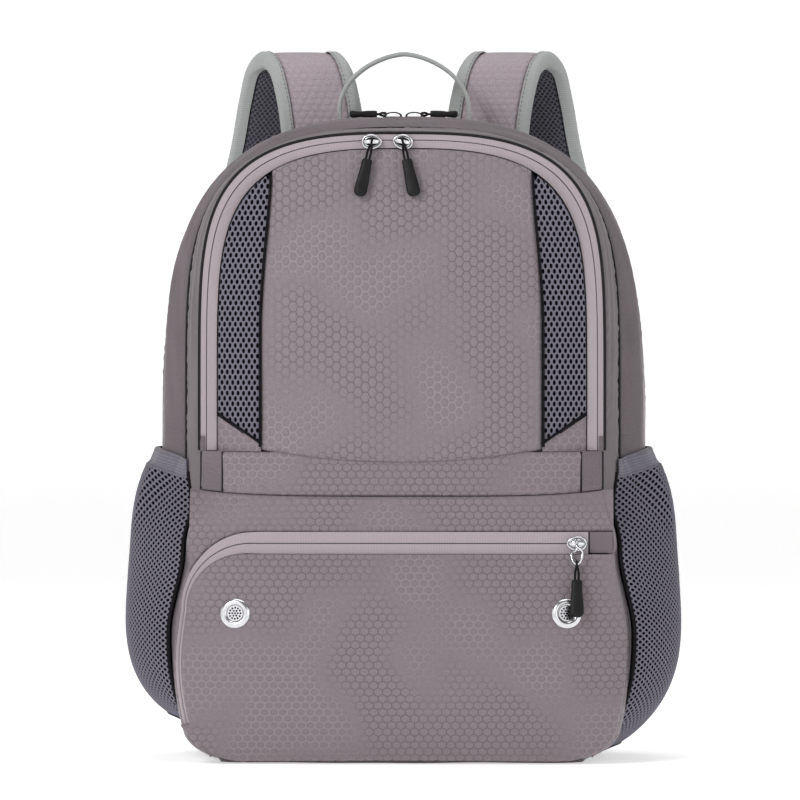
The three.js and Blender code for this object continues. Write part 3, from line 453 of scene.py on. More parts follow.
# Near-black: painted shade seen through holes, on the sheets behind the nets and as dots on the eyelet
# screens.
HOLE_SHADE = plain("net backing", rgb(8, 7, 13), 0.9, gloss=0.05)
PIPING = plain("dark piping", rgb(17, 15, 19), 0.8, grain=0.1, gloss=0.1)
ELASTIC = ribbed("elastic", rgb(98, 95, 107), 2.1, along=1, depth=0.35, contrast=0.16)
STRAP_CLOTH = ripstop("strap ripstop", rgb(144, 132, 138), contrast=0.2)
BINDING = ribbed("grey-green binding", rgb(146, 149, 147), 1.6, along=0, depth=0.12, contrast=0.08)
# Each net's second colour is its holes' painted shade.
STRAP_NET = spacer_net("strap net", rgb(82, 80, 92), rgb(26, 25, 34), 3.6, 2.1)
BACK_NET = spacer_net("back net", rgb(92, 90, 101), rgb(24, 23, 31), 3.6, 2.1)
METAL = plain("bright nickel", rgb(206, 206, 209), 0.2, metallic=1.0)
RUBBER = plain("black rubber", rgb(12, 11, 12), 0.5, grain=0.05, gloss=0.22)
# Black for the pull cords; also the painted shade in the sliders' sunk middles.
BLACK_CORD_AND_RECESS_SHADE = plain("black cord and recess shade", rgb(10, 9, 10), 0.75, grain=0.1, gloss=0.2)
PLASTIC = plain("black plastic", rgb(20, 20, 21), 0.38)


# ---------------------------------------------------------------- meshes from grids
def normals_of(grid):
    across = np.gradient(grid, axis=1)
    down = np.gradient(grid, axis=0)
    normal = np.cross(across, down)
    return normal / (np.linalg.norm(normal, axis=2, keepdims=True) + 1e-12)


def facing(grid, away_from=(0, 0, 200), towards=None):
    """Unit normals that point away from a place, or along a direction."""
    normal = normals_of(grid)
    reference = grid - np.asarray(away_from, float) if towards is None else np.asarray(towards, float)
    return -normal if (normal * reference).sum() < 0 else normal


def lifted(grid, normal, amount):
    """The grid, moved out along its normals."""
    return grid + normal * np.asarray(amount)[..., None]


def lengths_of(grid):
    """Distances along the cloth in mm, from its first column and from its first row."""
    across = np.linalg.norm(np.diff(grid, axis=1), axis=2)
    down = np.linalg.norm(np.diff(grid, axis=0), axis=2)
    u = np.concatenate([np.zeros((grid.shape[0], 1)), np.cumsum(across, axis=1)], axis=1)
    v = np.concatenate([np.zeros((1, grid.shape[1])), np.cumsum(down, axis=0)], axis=0)
    return u, v


def cloth_lengths(grid):
    """Distances along the cloth in mm: across from the middle column, and down from the first row."""
    u, v = lengths_of(grid)
    return np.stack([u - u[:, grid.shape[1] // 2][:, None], v], axis=2)


def sewn(grid, normal, edges, depth=1.6, width=3.5, pucker=0.45, seed=1):
    """Rolls the named edges inwards, as cloth does at a seam, with small puckers beside them."""
    u, v = lengths_of(grid)
    distance = {"first": u, "last": u[:, -1:] - u, "top": v, "bottom": v[-1:, :] - v}
    moved = np.zeros(grid.shape[:2])
    for k, name in enumerate(edges.split()):
        d = distance[name]
        t = 1 - np.clip(d / width, 0, 1)
        moved -= depth * (1 - np.sqrt(np.maximum(0, 1 - t * t)))
        other = distance["top" if name in ("first", "last") else "first"]
        moved += pucker * waves(other, seed + k, 9.0) * np.exp(-d / 6.0) * (1 - np.exp(-d / 1.2))
    return lifted(grid, normal, moved)


def mesh_object(name, points, faces, material, uv=None, smooth=True, sharp=None):
    """points in mm; uv has one (u, v) in mm for each point."""
    name = name.replace(" ", "_")
    mesh = bpy.data.meshes.new(name)
    points = np.asarray(points, float).reshape(-1, 3)
    mesh.from_pydata((points * MM).tolist(), [], faces if isinstance(faces, list) else faces.tolist())
    mesh.update()
    if uv is not None:
        layer = mesh.uv_layers.new(name="cloth")
        corners = np.empty(len(mesh.loops), dtype=np.int64)
        mesh.loops.foreach_get("vertex_index", corners)
        layer.data.foreach_set("uv", np.asarray(uv, np.float32).reshape(-1, 2)[corners].ravel())
    mesh.polygons.foreach_set("use_smooth", [smooth] * len(mesh.polygons))
    if sharp:
        mesh.set_sharp_from_angle(angle=math.radians(sharp))
    mesh.materials.append(material)
    piece = bpy.data.objects.new(name, mesh)
    bpy.context.scene.collection.objects.link(piece)
    return piece


def grid_faces(rows, columns, start=0, flip=False):
    r, c = np.meshgrid(np.arange(rows - 1), np.arange(columns - 1), indexing="ij")
    a = start + r * columns + c
    quads = np.stack([a, a + 1, a + columns + 1, a + columns], axis=2).reshape(-1, 4)
    return quads[:, ::-1] if flip else quads


def border_of(rows, columns):
    """The indices round a grid's edge, in order."""
    index = np.arange(rows * columns).reshape(rows, columns)
    return np.concatenate([index[0, :-1], index[:-1, -1], index[-1, :0:-1], index[:0:-1, 0]])


def ring_faces(count, size, closed=False):
    """Faces between neighbouring rings of `size` points; `closed` joins the last ring to the first."""
    i, j = np.meshgrid(np.arange(count if closed else count - 1), np.arange(size), indexing="ij")
    ahead = (i + 1) % count * size
    beside = (j + 1) % size
    return np.stack([i * size + j, i * size + beside, ahead + beside, ahead + j], axis=2).reshape(-1, 4)


def capped_faces(count, size):
    """As ring_faces, with both ends closed."""
    ends = [list(range(size))[::-1], list(range((count - 1) * size, count * size))]
    return ring_faces(count, size).tolist() + ends


def repeated(faces, count, size, start=0):
    """The same faces for each of `count` small bodies of `size` points."""
    return (start + np.arange(count)[:, None, None] * size + np.array(faces)[None]).reshape(-1, 4)


def shell(name, grid, material, thickness, normal, uv=None):
    """A closed sheet: the grid is its outer face, and its back lies `thickness` behind."""
    rows, columns = grid.shape[:2]
    flip = (normals_of(grid) * normal).sum() > 0
    uv = cloth_lengths(grid) if uv is None else uv
    back = grid - normal * thickness
    count = rows * columns
    rim = border_of(rows, columns)
    following = np.roll(rim, -1)
    wall = np.stack([rim, rim + count, following + count, following], axis=1)
    faces = np.concatenate([
        grid_faces(rows, columns, 0, not flip),
        grid_faces(rows, columns, count, flip),
        wall if flip else wall[:, ::-1],
    ])
    points = np.concatenate([grid.reshape(-1, 3), back.reshape(-1, 3)])
    return mesh_object(name, points, faces, material, np.concatenate([uv.reshape(-1, 2)] * 2), sharp=50)


def panel(name, rows, material, towards, seams=(), thickness=1.4, drawn=FRONT_VIEW):
    """A cloth panel from rows of points, rolled in at its seams.

    Its weave is drawn on the two axes in `drawn`, or along the cloth if that is None."""
    grid = np.array(rows)
    normal = facing(grid, towards=towards)
    for seam in seams:
        grid = sewn(grid, normal, **seam)
    uv = grid[..., drawn] if drawn else None
    return shell(name, grid, material, thickness, normal, uv=uv), grid


def sweep(name, path, section, material, closed=False, up=None):
    """Carries a closed section of (side, out) points along a path; `up` says which way is out."""
    path = np.asarray(path, float)
    along = np.roll(path, -1, axis=0) - np.roll(path, 1, axis=0) if closed else np.gradient(path, axis=0)
    along = unit(along)
    if up is None:
        up = np.zeros_like(path)
        guess = np.array([0.0, -1.0, 0.0]) if abs(along[0][1]) < 0.9 else np.array([0.0, 0.0, 1.0])
        for i, tangent in enumerate(along):
            guess = guess - tangent * guess.dot(tangent)
            guess /= np.linalg.norm(guess)
            up[i] = guess
    else:
        up = np.broadcast_to(np.asarray(up, float), path.shape)
        up = unit(up - along * (up * along).sum(axis=1, keepdims=True))
    side = np.cross(along, up)
    points = path[:, None] + side[:, None] * section[None, :, :1] + up[:, None] * section[None, :, 1:2]
    n, m = len(path), len(section)
    uv = np.stack(np.meshgrid(run_along(path), run_along(section), indexing="ij"), axis=2)
    faces = ring_faces(n, m, closed=True) if closed else capped_faces(n, m)
    return mesh_object(name, points, faces, material, uv, sharp=60)


def cord(name, path, radius, material, sides=8, **options):
    """A round cord, piping or wire along a path."""
    return sweep(name, path, round_section(radius, sides), material, **options)


def round_section(radius, count):
    angle = np.arange(count) * 2 * math.pi / count
    return coords(radius * np.cos(angle), radius * np.sin(angle))


def strip_section(width, thickness, round_by=0.4):
    """A flat band's section with rounded edges."""
    w, t = width / 2, thickness / 2
    r = min(round_by, t * 0.98)
    points = []
    for sx, sy, start in ((1, 1, 0), (-1, 1, 90), (-1, -1, 180), (1, -1, 270)):
        for step in (0, 45, 90):
            angle = math.radians(start + step)
            points.append([sx * (w - r) + r * math.cos(angle), sy * (t - r) + r * math.sin(angle)])
    return np.array(points)


def lathe(name, profile, material, facets=64):
    """Turns (radius, height) points about Z."""
    radius, height = np.asarray(profile, float).T[:, :, None]
    angle = np.arange(facets) * 2 * math.pi / facets
    points = coords(radius * np.cos(angle), radius * np.sin(angle), height)
    return mesh_object(name, points, ring_faces(len(profile), facets), material, sharp=40)


def join(name, pieces):
    """One object from several, keeping their materials."""
    first = pieces[0]
    with bpy.context.temp_override(
        active_object=first, selected_objects=pieces, selected_editable_objects=pieces, object=first
    ):
        bpy.ops.object.join()
    first.name = name.replace(" ", "_")
    first.data.name = first.name
    return first


def stitches(name, path, normal, pitch=3.2, length=2.1, radius=0.22):
    """Short thread stitches along a line on the cloth, standing a little off it."""
    path = np.asarray(path, float)
    count = max(2, int(run_along(path)[-1] / pitch))
    even = evenly(path, count)
    out = unit(resampled(np.broadcast_to(np.asarray(normal, float), path.shape), path, count))
    along = unit(np.gradient(even, axis=0))
    side = np.cross(along, out)
    points = []
    for share, wide, lift in ((-0.5, 0.3, -0.9), (-0.3, 1.0, 0.35), (0.3, 1.0, 0.35), (0.5, 0.3, -0.9)):
        for sx, sy in ((1, 0), (0, 1), (-1, 0), (0, -1)):
            rise = radius * (sy * wide + lift)
            points.append(even + along * share * length + side * sx * radius * wide + out * rise)
    points = np.stack(points, axis=1)
    return mesh_object(name, points, repeated(capped_faces(4, 4), count, 16), THREAD)


# ---------------------------------------------------------------- stage
def build_stage():
    camera_data = bpy.data.cameras.new("camera")
    camera_data.lens = 404
    camera_data.clip_end = 40
    camera = bpy.data.objects.new("camera", camera_data)
    bpy.context.scene.collection.objects.link(camera)
    aim = Vector((-0.0014, -0.06, 0.2530))
    camera.location = (0.10, -6.33, 0.40)
    camera.rotation_euler = (aim - camera.location).to_track_quat("-Z", "Y").to_euler()
    bpy.context.scene.camera = camera
    bpy.context.scene.view_settings.view_transform = "Standard"

    world = bpy.data.worlds.new("studio")
    world.use_nodes = True
    world.node_tree.nodes["Background"].inputs["Color"].default_value = (1, 1, 1, 1)
    world.node_tree.nodes["Background"].inputs["Strength"].default_value = 0.26
    bpy.context.scene.world = world

    def light(name, place, size, watts, aim=(0, 0, 0.25)):
        data = bpy.data.lights.new(name, "AREA")
        data.size = size
        data.energy = watts
        lamp = bpy.data.objects.new(name, data)
        bpy.context.scene.collection.objects.link(lamp)
        lamp.location = place
        lamp.rotation_euler = (Vector(aim) - Vector(place)).to_track_quat("-Z", "Y").to_euler()

    light("key", (-1.1, -1.7, 1.5), 0.7, 25)
    light("fill", (1.5, -1.4, 0.9), 1.4, 5)
    light("top", (0.1, 0.1, 1.9), 1.2, 12)

    # A round studio: the floor curves up into a pale wall on every side.
    turn = np.linspace(0, math.pi / 2, 14)
    profile = [(0.1, 0), (2000, 0), (8500, 0)]
    profile += [(8500 + 2400 * math.sin(a), 2400 * (1 - math.cos(a))) for a in turn[1:]]
    profile += [(10900, 6000)]
    pale = Tree("pale floor", roughness=0.95)
    pale.colour((0.86, 0.86, 0.86, 1))
    pale.shader.inputs["Emission Color"].default_value = (1, 1, 1, 1)
    pale.shader.inputs["Emission Strength"].default_value = 0.5
    paper = lathe("floor", profile, pale.material, 96)


build_stage()
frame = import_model()


def settle(piece, body, replaces=()):
    """Hangs a piece on its CAD body and the CAD nodes it stands for."""
    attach(piece, body)
    for node in [replaces] if isinstance(replaces, str) else replaces:
        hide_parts(node)
    return piece


def cut(piece):
    """Hands back a sewn cloth panel unchanged; it is cut as wide and as long as its own surface measures."""
    return piece


# ---------------------------------------------------------------- walls round the arch
def arch_grid(depths, low, count, puff=0.0):
    """Rows round the arch at each depth; between the outer rows the cloth stands out by `puff`."""
    grid = np.array([upright(arch(*station_at(y), low, count), y) for y in depths])
    normal = facing(grid)
    share = (depths - depths[0]) / (depths[-1] - depths[0])
    return lifted(grid, normal, (puff * np.sin(math.pi * share) ** 0.7)[:, None]), normal


def over_fold(piece):
    """For a piece that spans the front half's fold: bakes its transform into its mesh and hangs it on no
    body.
    """
    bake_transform(piece)


def build_gussets():
    grid, normal = arch_grid(np.linspace(57.4, MAIN_ZIP + MAIN_TAPE + 0.6, 30), FLOOR_EDGE, 460, puff=1.5)
    x, y, z = np.moveaxis(grid, 2, 0)
    grid = lifted(grid, normal, 0.5 * ripples(y * 1.5, z + np.abs(x), 11, 60))
    grid = sewn(grid, normal, "top bottom", seed=20)
    rear = shell("rear gusset cloth", grid, PLAIN_SHELL, 1.4, normal)
    settle(rear, "root", "rear_gusset")
    cut(rear)

    strips = (
        ("front gusset", MAIN_ZIP - MAIN_TAPE - 0.6, -26.6, 0, 1.9, "front_gusset", 30),
        ("pocket gusset", PARTITION - 1.0, POCKET_FRONT + 0.2, 3.4, 2.0, "pocket_gusset", 40),
    )
    for name, back, front, leg_reach, puff, node, seed in strips:
        grid, normal = arch_grid(np.linspace(back, front, 28), LEG_TOP, 400, puff=puff)
        along = cloth_lengths(grid)[..., 0]
        fade = ease(grid[..., 2], LEG_TOP, LEG_TOP + 30)
        grid = lifted(grid, normal, 0.45 * ripples(grid[..., 1] * 8, along, seed + 7, 75) * fade)
        grid = sewn(grid, normal, "top bottom", pucker=0.7, seed=seed)
        strip = shell(f"{name} cloth", grid, PLAIN_SHELL, 1.4, normal)
        settle(strip, "front_half", node)
        cut(strip)
        bulge = puff * np.sin(math.pi * np.linspace(0, 1, 28)) ** 0.7
        y = np.linspace(back, front - leg_reach, 28)
        for side, sign in SIDES:
            heights = np.linspace(LEG_TOP, LEG_LOW - 1.5, 26)
            grid = np.array([coords(sign * side_at(y, z), y, z) for z in heights])
            normal = facing(grid, towards=(sign, 0, 0))
            grid = lifted(grid, normal, bulge[None])
            grid = sewn(grid, normal, "first last", pucker=0.7, seed=seed + 3 + sign)
            leg = shell(f"{name} leg {side}", grid, PLAIN_SHELL, 1.4, normal)
            over_fold(leg)
            cut(leg)

    # Near-black cords along the band seam's legs, the band seam and the back seam: painted shade of the seam
    # gaps.
    for side, sign in SIDES:
        z = np.linspace(LEG_TOP + 1, LEG_LOW - 1, 30)
        y = PARTITION - 0.2
        path = coords(sign * (side_at(y, z) - 0.2), y, z)
        over_fold(cord(f"band seam leg {side}", path, 1.35, SEAM_SHADE))

    for name, y, low, body in (
        ("band seam cord", PARTITION - 0.2, LEG_TOP, "front_half"),
        ("back seam shade cord", 58.3, FLOOR_EDGE, "root"),
    ):
        path = upright(arch(*station_at(y), low, 420), y) * [0.9985, 1, 1] - [0, 0, 0.2]
        settle(cord(name, path, 1.35, SEAM_SHADE), body)


def coil(name, path, out, pitch=1.5, width=2.2):
    """The zip's coil: a row of small blunt teeth across the zip line."""
    count = int(run_along(path)[-1] / pitch)
    even = evenly(path, count)
    out = resampled(np.broadcast_to(np.asarray(out, float), path.shape), path, count)
    along = unit(np.gradient(even, axis=0))
    side = np.cross(along, out)
    points = []
    for length, wide, height in ((0.3, 0.5, -0.5), (0.22, 0.36, 0.35)):
        for a, s in ((-1, -1), (1, -1), (1, 1), (-1, 1)):
            points.append(even + along * a * pitch * length + side * s * width * wide + out * height)
    faces = repeated(capped_faces(2, 4), count, 8)
    return mesh_object(name, np.stack(points, axis=1), faces, COIL, smooth=False)


def inset(line, distance):
    """Moves an (x, z) line to its right-hand side, which is inwards for an arch from the lower left."""
    step = unit(np.gradient(line, axis=0))
    return lifted(line, coords(step[:, 1], -step[:, 0]), distance)


def build_main_zip():
    tapes = (
        ("rear main zip tape", MAIN_ZIP + MAIN_TAPE, MAIN_ZIP + 0.5, "root", "main_zip_tape_rear"),
        ("front main zip tape", MAIN_ZIP - 0.5, MAIN_ZIP - MAIN_TAPE, "front_half", "main_zip_tape_front"),
    )
    for name, back, front, body, node in tapes:
        grid, normal = arch_grid(np.linspace(back, front, 7), FOLD + 1, 400)
        settle(shell(name, grid - normal * 0.15, ZIP_TAPE, 1.2, normal), body, node)
    path = upright(arch(*station_at(MAIN_ZIP), FOLD + 1, 700), MAIN_ZIP)
    out = unit(coords(path[:, 0], 0, (path[:, 2] - MIDDLE) * 0.8))
    settle(coil("main zip coil", path - out * 0.9, out), "root")


# ---------------------------------------------------------------- front pocket
def pocket_line(half, top, count=420):
    return arch(half, top, STATION_ACROSS[0], STATION_UP[0], FOLD + 3, count)


def lid_depth(x, z):
    across = 1 - np.minimum(1, np.abs(x) / 130) ** 3
    up = np.maximum(0, 1 - (np.maximum(0, z - MIDDLE) / 201) ** 3.5)
    return POCKET_FRONT - 2.3 - POCKET_CROWN * across * up


def net_edge(z):
    return 98 - 8 * ease(z, 300, 430)


def flat_tape(name, outer, inner, depths, body, node):
    """A zip tape that faces the front between two (x, z) lines at two depths."""
    rows = [upright(lerp(outer, inner, t), lerp(*depths, t)) for t in np.linspace(0, 1, 7)]
    tape, _ = panel(name, rows, ZIP_TAPE, FRONT, thickness=1.2, drawn=None)
    settle(tape, body, node)


def build_pocket_zip():
    def ring(out, up=None, count=420):
        return pocket_line(TEETH_HALF + out, TEETH_TOP + (out if up is None else up), count)

    face = POCKET_FRONT - 2.3
    outer, inner = ring(TAPE_OUTER), ring(-TAPE_INNER, -TAPE_BELOW)
    outer_depths, inner_depths = (face + 0.9, face), (face, face + 0.2)
    flat_tape("outer pocket zip tape", outer, ring(0.35), outer_depths, "front_half", "pocket_zip_tape_outer")
    flat_tape("inner pocket zip tape", ring(-0.35), inner, inner_depths, "front_lid", "pocket_zip_tape_inner")
    # A near-black cord outside the tape: painted shade of the gap at the pocket zip's seam.
    seam = upright(ring(TAPE_OUTER + 0.7), face + 1.6)
    settle(cord("pocket zip seam cord", seam, 1.2, SEAM_SHADE), "front_half")
    path = upright(ring(0, count=700), face + 0.9)
    settle(coil("pocket zip coil", path, FRONT), "front_half")


def lid_half(z):
    half, top = TEETH_HALF - TAPE_INNER - 0.8, TEETH_TOP - TAPE_BELOW - 0.8
    return arch_half_at(z, half, top, STATION_ACROSS[0], STATION_UP[0])


NET_TOP = 411


def slant(x):
    """The net panels' lower edge, which rises towards the outside."""
    return 220 + (np.abs(x) - 95) * 0.68


def build_lid():
    half, high = TEETH_HALF - TAPE_INNER - 0.4, TEETH_TOP - TAPE_BELOW - 0.2
    columns = np.linspace(-1, 1, 97)
    shoulder = (1 - np.abs(columns * 90 / half) ** STATION_ACROSS[0]) ** (1 / STATION_UP[0])
    rows = []
    for t in np.sin(np.linspace(0, math.pi / 2, 120)) ** 1.1:
        z = lerp(210.5, MIDDLE + (high - MIDDLE) * shoulder, t)
        x = columns * net_edge(z)
        sag = 8 * (x / 97) ** 2 * ease(z, 240, 211)
        dent = 0.4 * ripples(x, z, 51, 75) * ease(z, 420, 380)
        rows.append(coords(x, lid_depth(x, z) - 0.6 + dent, z + sag))
    seams = (
        dict(edges="first last top", depth=1.2, width=3.2, pucker=0.5, seed=52),
        dict(edges="bottom", depth=1.6, width=4.0, pucker=0.5, seed=57),
    )
    centre, grid = panel("centre panel cloth", rows, SHELL_TALL, FRONT, seams)
    settle(centre, "front_lid", "centre_panel")
    cut(centre)

    for side, sign in SIDES:
        def place(u, z, sign=sign):
            x = sign * lerp(net_edge(z) + 0.5, lid_half(z) - 0.2, u)
            return coords(x, lid_depth(x, z) - 0.4, z)

        name, heights = f"net panel {side}", (FOLD + 6, NET_TOP - 1.5)
        net = net_over(name, place, heights, pitch=(4.15, 3.7), hole=(1.15, 1.78), slant_low=True)
        settle(net, "front_lid", f"mesh_panel_{side}")
        x = sign * lerp(98.4, 129.0, np.linspace(0, 1, 18))
        heights = [lerp(217.5, slant(x) + 0.6, t) for t in np.linspace(0, 1, 14)]
        grid = np.array([coords(x, lid_depth(x, z) - 0.5, z) for z in heights])
        normal = facing(grid, towards=FRONT)
        rolled = sewn(grid, normal, "first last", depth=0.8, width=2.5, seed=55 + sign)
        corner = shell(f"lid corner {side}", rolled, SHELL, 1.2, normal, uv=grid[..., FRONT_VIEW])
        settle(corner, "front_lid")
        x = sign * np.linspace(97.6, 128.6, 24)
        foot = coords(x, lid_depth(x, slant(x)) - 1.4, slant(x) + 1.1)
        z = np.linspace(slant(96.0), NET_TOP - 1, 90)
        edge = coords(sign * (net_edge(z) + 0.8), lid_depth(net_edge(z), z) - 1.2, z)
        for name, path in (("foot", foot), ("edge", edge)):
            settle(cord(f"net {name} piping {side}", path, 0.9, PIPING), "front_lid")


def net_over(name, place, heights, pitch, hole, slant_low=False, away=FRONT):
    """A knotted net over a surface given by place(share across, height), with a near-black sheet behind it as
    painted shade seen through its holes.
    """
    low, high = heights
    wide, tall = pitch
    share = np.linspace(0, 1, 60)
    known = {}

    def line_at(z):
        """The surface's line at one height, the distances along it, and its normals."""
        key = round(z, 2)
        if key not in known:
            line = place(share, np.full_like(share, z))
            ahead = place(share, np.full_like(share, z + 0.5))
            normal = unit(np.cross(np.gradient(line, axis=0), ahead - line))
            known[key] = (line, run_along(line), -normal if (normal * np.array(away)).sum() < 0 else normal)
        return known[key]

    def above_slant(points):
        if slant_low:
            points[:, 2] = np.maximum(points[:, 2], slant(points[:, 0]) + 0.4)
        return points

    def at(distance, z):
        """Points and normals at distances in mm from the surface's first edge, at one height."""
        line, run, normal = line_at(z)
        distance = np.clip(distance, 0, run[-1])
        both = np.concatenate([line, normal], axis=1)
        found = np.stack([np.interp(distance, run, values) for values in both.T], axis=-1)
        return found[:, :3], found[:, 3:]

    rhombus = [(1, 0), (0.5, 0.5), (0, 1), (-0.5, 0.5), (-1, 0), (-0.5, -0.5), (0, -1), (0.5, -0.5)]
    rhombus = np.array(rhombus) * [wide / 2, tall]
    oval = np.array([(math.cos(a), math.sin(a)) for a in np.arange(8) * math.pi / 4]) * hole
    rings = ((rhombus, 0.3), (lerp(rhombus, oval, 0.6), 0.26), (oval, -0.2))
    points = []
    for row in range(int((high - low) / tall) + 1):
        row_z = low + row * tall
        width = line_at(row_z)[1][-1]
        centres = np.arange(-1, int(width / wide) + 2) * wide + (wide / 2 if row % 2 else 0)
        centres = centres[(centres > -wide * 0.3) & (centres < width + wide * 0.3)]
        if slant_low:
            centres = centres[row_z > slant(at(centres, row_z)[0][:, 0]) - 1]
        cell = np.zeros((len(centres), 24, 3))
        for k, (ring, lift) in enumerate(rings):
            for j, (du, dz) in enumerate(ring):
                p, n = at(centres + du, min(max(row_z + dz, low), high))
                cell[:, k * 8 + j] = above_slant(p) + n * lift
        points.append(cell.reshape(-1, 3))
    points = np.concatenate(points)
    net = mesh_object(name, points, repeated(ring_faces(3, 8), len(points) // 24, 24), NET_THREAD)
    grid = np.array([above_slant(place(share, np.full_like(share, z))) for z in np.linspace(low, high, 60)])
    normal = facing(grid, towards=away)
    # A near-black sheet just behind the threads: painted shade seen through the net's holes.
    backing = shell(f"{name} backing", grid - normal * 0.45, HOLE_SHADE, 0.6, normal)
    return join(name, [net, backing])


# ---------------------------------------------------------------- fixed front below the fold
def side_at(y, z):
    upper = station_at(y)[0]
    shoe = lerp(150, 160, ease(z, 150, 90))
    lower = lerp(171, shoe, ease(y, 30, -75))
    return lerp(upper, lower, ease(z, 195, 150)) * corner_factor(z)


def corner_depth(z):
    return lerp(POCKET_FRONT, SHOE_FRONT + 4, ease(z, 206, 164))


def front_edge(z):
    return side_at(corner_depth(z), z) - 0.2


def low_front_depth(x, z):
    edge = corner_depth(z) - 3.4
    centre = lerp(POCKET_FRONT - 2.3 - POCKET_CROWN, SHOE_FRONT - 2.3, ease(z, 212, 166))
    return lerp(edge, centre, 1 - np.minimum(1, np.abs(x) / front_edge(z)) ** 3.2)


def seam_height(x):
    return SEAM + 6 * (x / 150) ** 4


def front_sheet(name, xs, low, high, rows, material, seed, dents=0.6, depth=1.5):
    """A wall that faces the front between two lines of height over the given x places."""
    grid = []
    for t in np.linspace(0, 1, rows):
        z = lerp(low(xs), high(xs), t)
        grid.append(coords(xs, low_front_depth(xs, z) + dents * ripples(xs, z, seed, 60), z))
    seam = dict(edges="top bottom", depth=depth, width=3.2, pucker=0.6, seed=seed)
    return panel(name, grid, material, FRONT, [seam])[0]


def build_low_front():
    def above_seam(x):
        return seam_height(x) + 0.3

    def yoke_top(x):
        return np.minimum(FOLD + 2.2, 210.8 + 8 * (x / 97) ** 2)

    yoke = front_sheet("yoke cloth", np.linspace(-125, 125, 150), above_seam, yoke_top, 22, SHELL, 61)
    settle(yoke, "root", "front_yoke")
    for side, sign in SIDES:
        xs = np.linspace(sign * 125.2, sign * 140, 14)
        name = f"zip end patch {side}"
        patch = front_sheet(name, xs, above_seam, lambda x: FOLD + 2.6, 20, DARK_SHELL, 63 + sign, 0.2, 0.8)
        settle(patch, "root", f"zip_end_patch_{side}")
        # Near-black cords at the patch's inner and outer edges: painted shade of the seam gaps.
        for place, at in (("inner", 125.1), ("outer", 140.2)):
            z = np.linspace(float(seam_height(at)), FOLD + 2.2, 20)
            path = coords(sign * at, low_front_depth(sign * at, z) + 0.2, z)
            settle(cord(f"{place} end patch seam {side}", path, 0.7, SEAM_SHADE), "root")

    tape = outer_shoe_line()[80:]

    def band_foot(x):
        return np.interp(x, tape[:, 0], tape[:, 1]) - 0.3

    def below_seam(x):
        return seam_height(x) - 0.3

    band = front_sheet("band cloth", np.linspace(-147.5, 147.5, 190), band_foot, below_seam, 24, SHELL, 67)
    settle(band, "root", "front_band")


# ---------------------------------------------------------------- shoe pocket
def shoe_left(z):
    low = SHOE_ZIP - SHOE_CORNER
    above = SHOE_STRAIGHT_END - np.sqrt(np.maximum(0, SHOE_CORNER**2 - (z - low) ** 2))
    swell = 4.5 * np.sin(math.pi / 2 * np.clip((low - z) / 50, 0, 1))
    return np.where(z >= low, above, -(SHOE_CORNER - SHOE_STRAIGHT_END + swell) * foot_factor(z))


def foot_round(z):
    """How far the panel's lower corners are rounded off, in mm, at a height."""
    return 38 * (1 - rounded(z, 21))


def shoe_right(z):
    return lerp(150, 160, ease(z, 150, 90)) * foot_factor(z) - 1.5 - foot_round(z)


def shoe_depth(x, z):
    across = 1 - np.minimum(1, np.abs(x) / 158) ** 6
    up = np.sin(math.pi * np.clip((z + 8) / (SHOE_ZIP + 8), 0, 1)) ** 0.8
    under = 9 * (1 - np.clip(z / 12, 0, 1)) ** 2
    return SHOE_FRONT - 2.3 + lerp(6, 0, ease(z, 4, 40)) + under - SHOE_CROWN * across * up


def shoe_zip_line():
    low = SHOE_ZIP - SHOE_CORNER
    z = np.linspace(SHOE_ZIP_LOW, low, 40)
    angle = np.linspace(math.pi, math.pi / 2, 40)[1:]
    turn = coords(SHOE_STRAIGHT_END + SHOE_CORNER * np.cos(angle), low + SHOE_CORNER * np.sin(angle))
    return evenly(np.concatenate([coords(shoe_left(z), z), turn, [[SHOE_ZIP_RIGHT, SHOE_ZIP]]]), 300)


def turned_share(line):
    """1 where the shoe zip runs up the side, 0 where it runs across."""
    return ease(np.linspace(0, 1, len(line)), 0.42, 0.22)


def outer_shoe_line():
    line = shoe_zip_line()
    return inset(line, -0.35 - (SHOE_TAPE - 0.4) * (1 - 0.75 * turned_share(line)))


def inner_shoe_line():
    line = shoe_zip_line()
    return inset(line, (SHOE_TAPE - 0.8) * (1 - 0.78 * turned_share(line)))


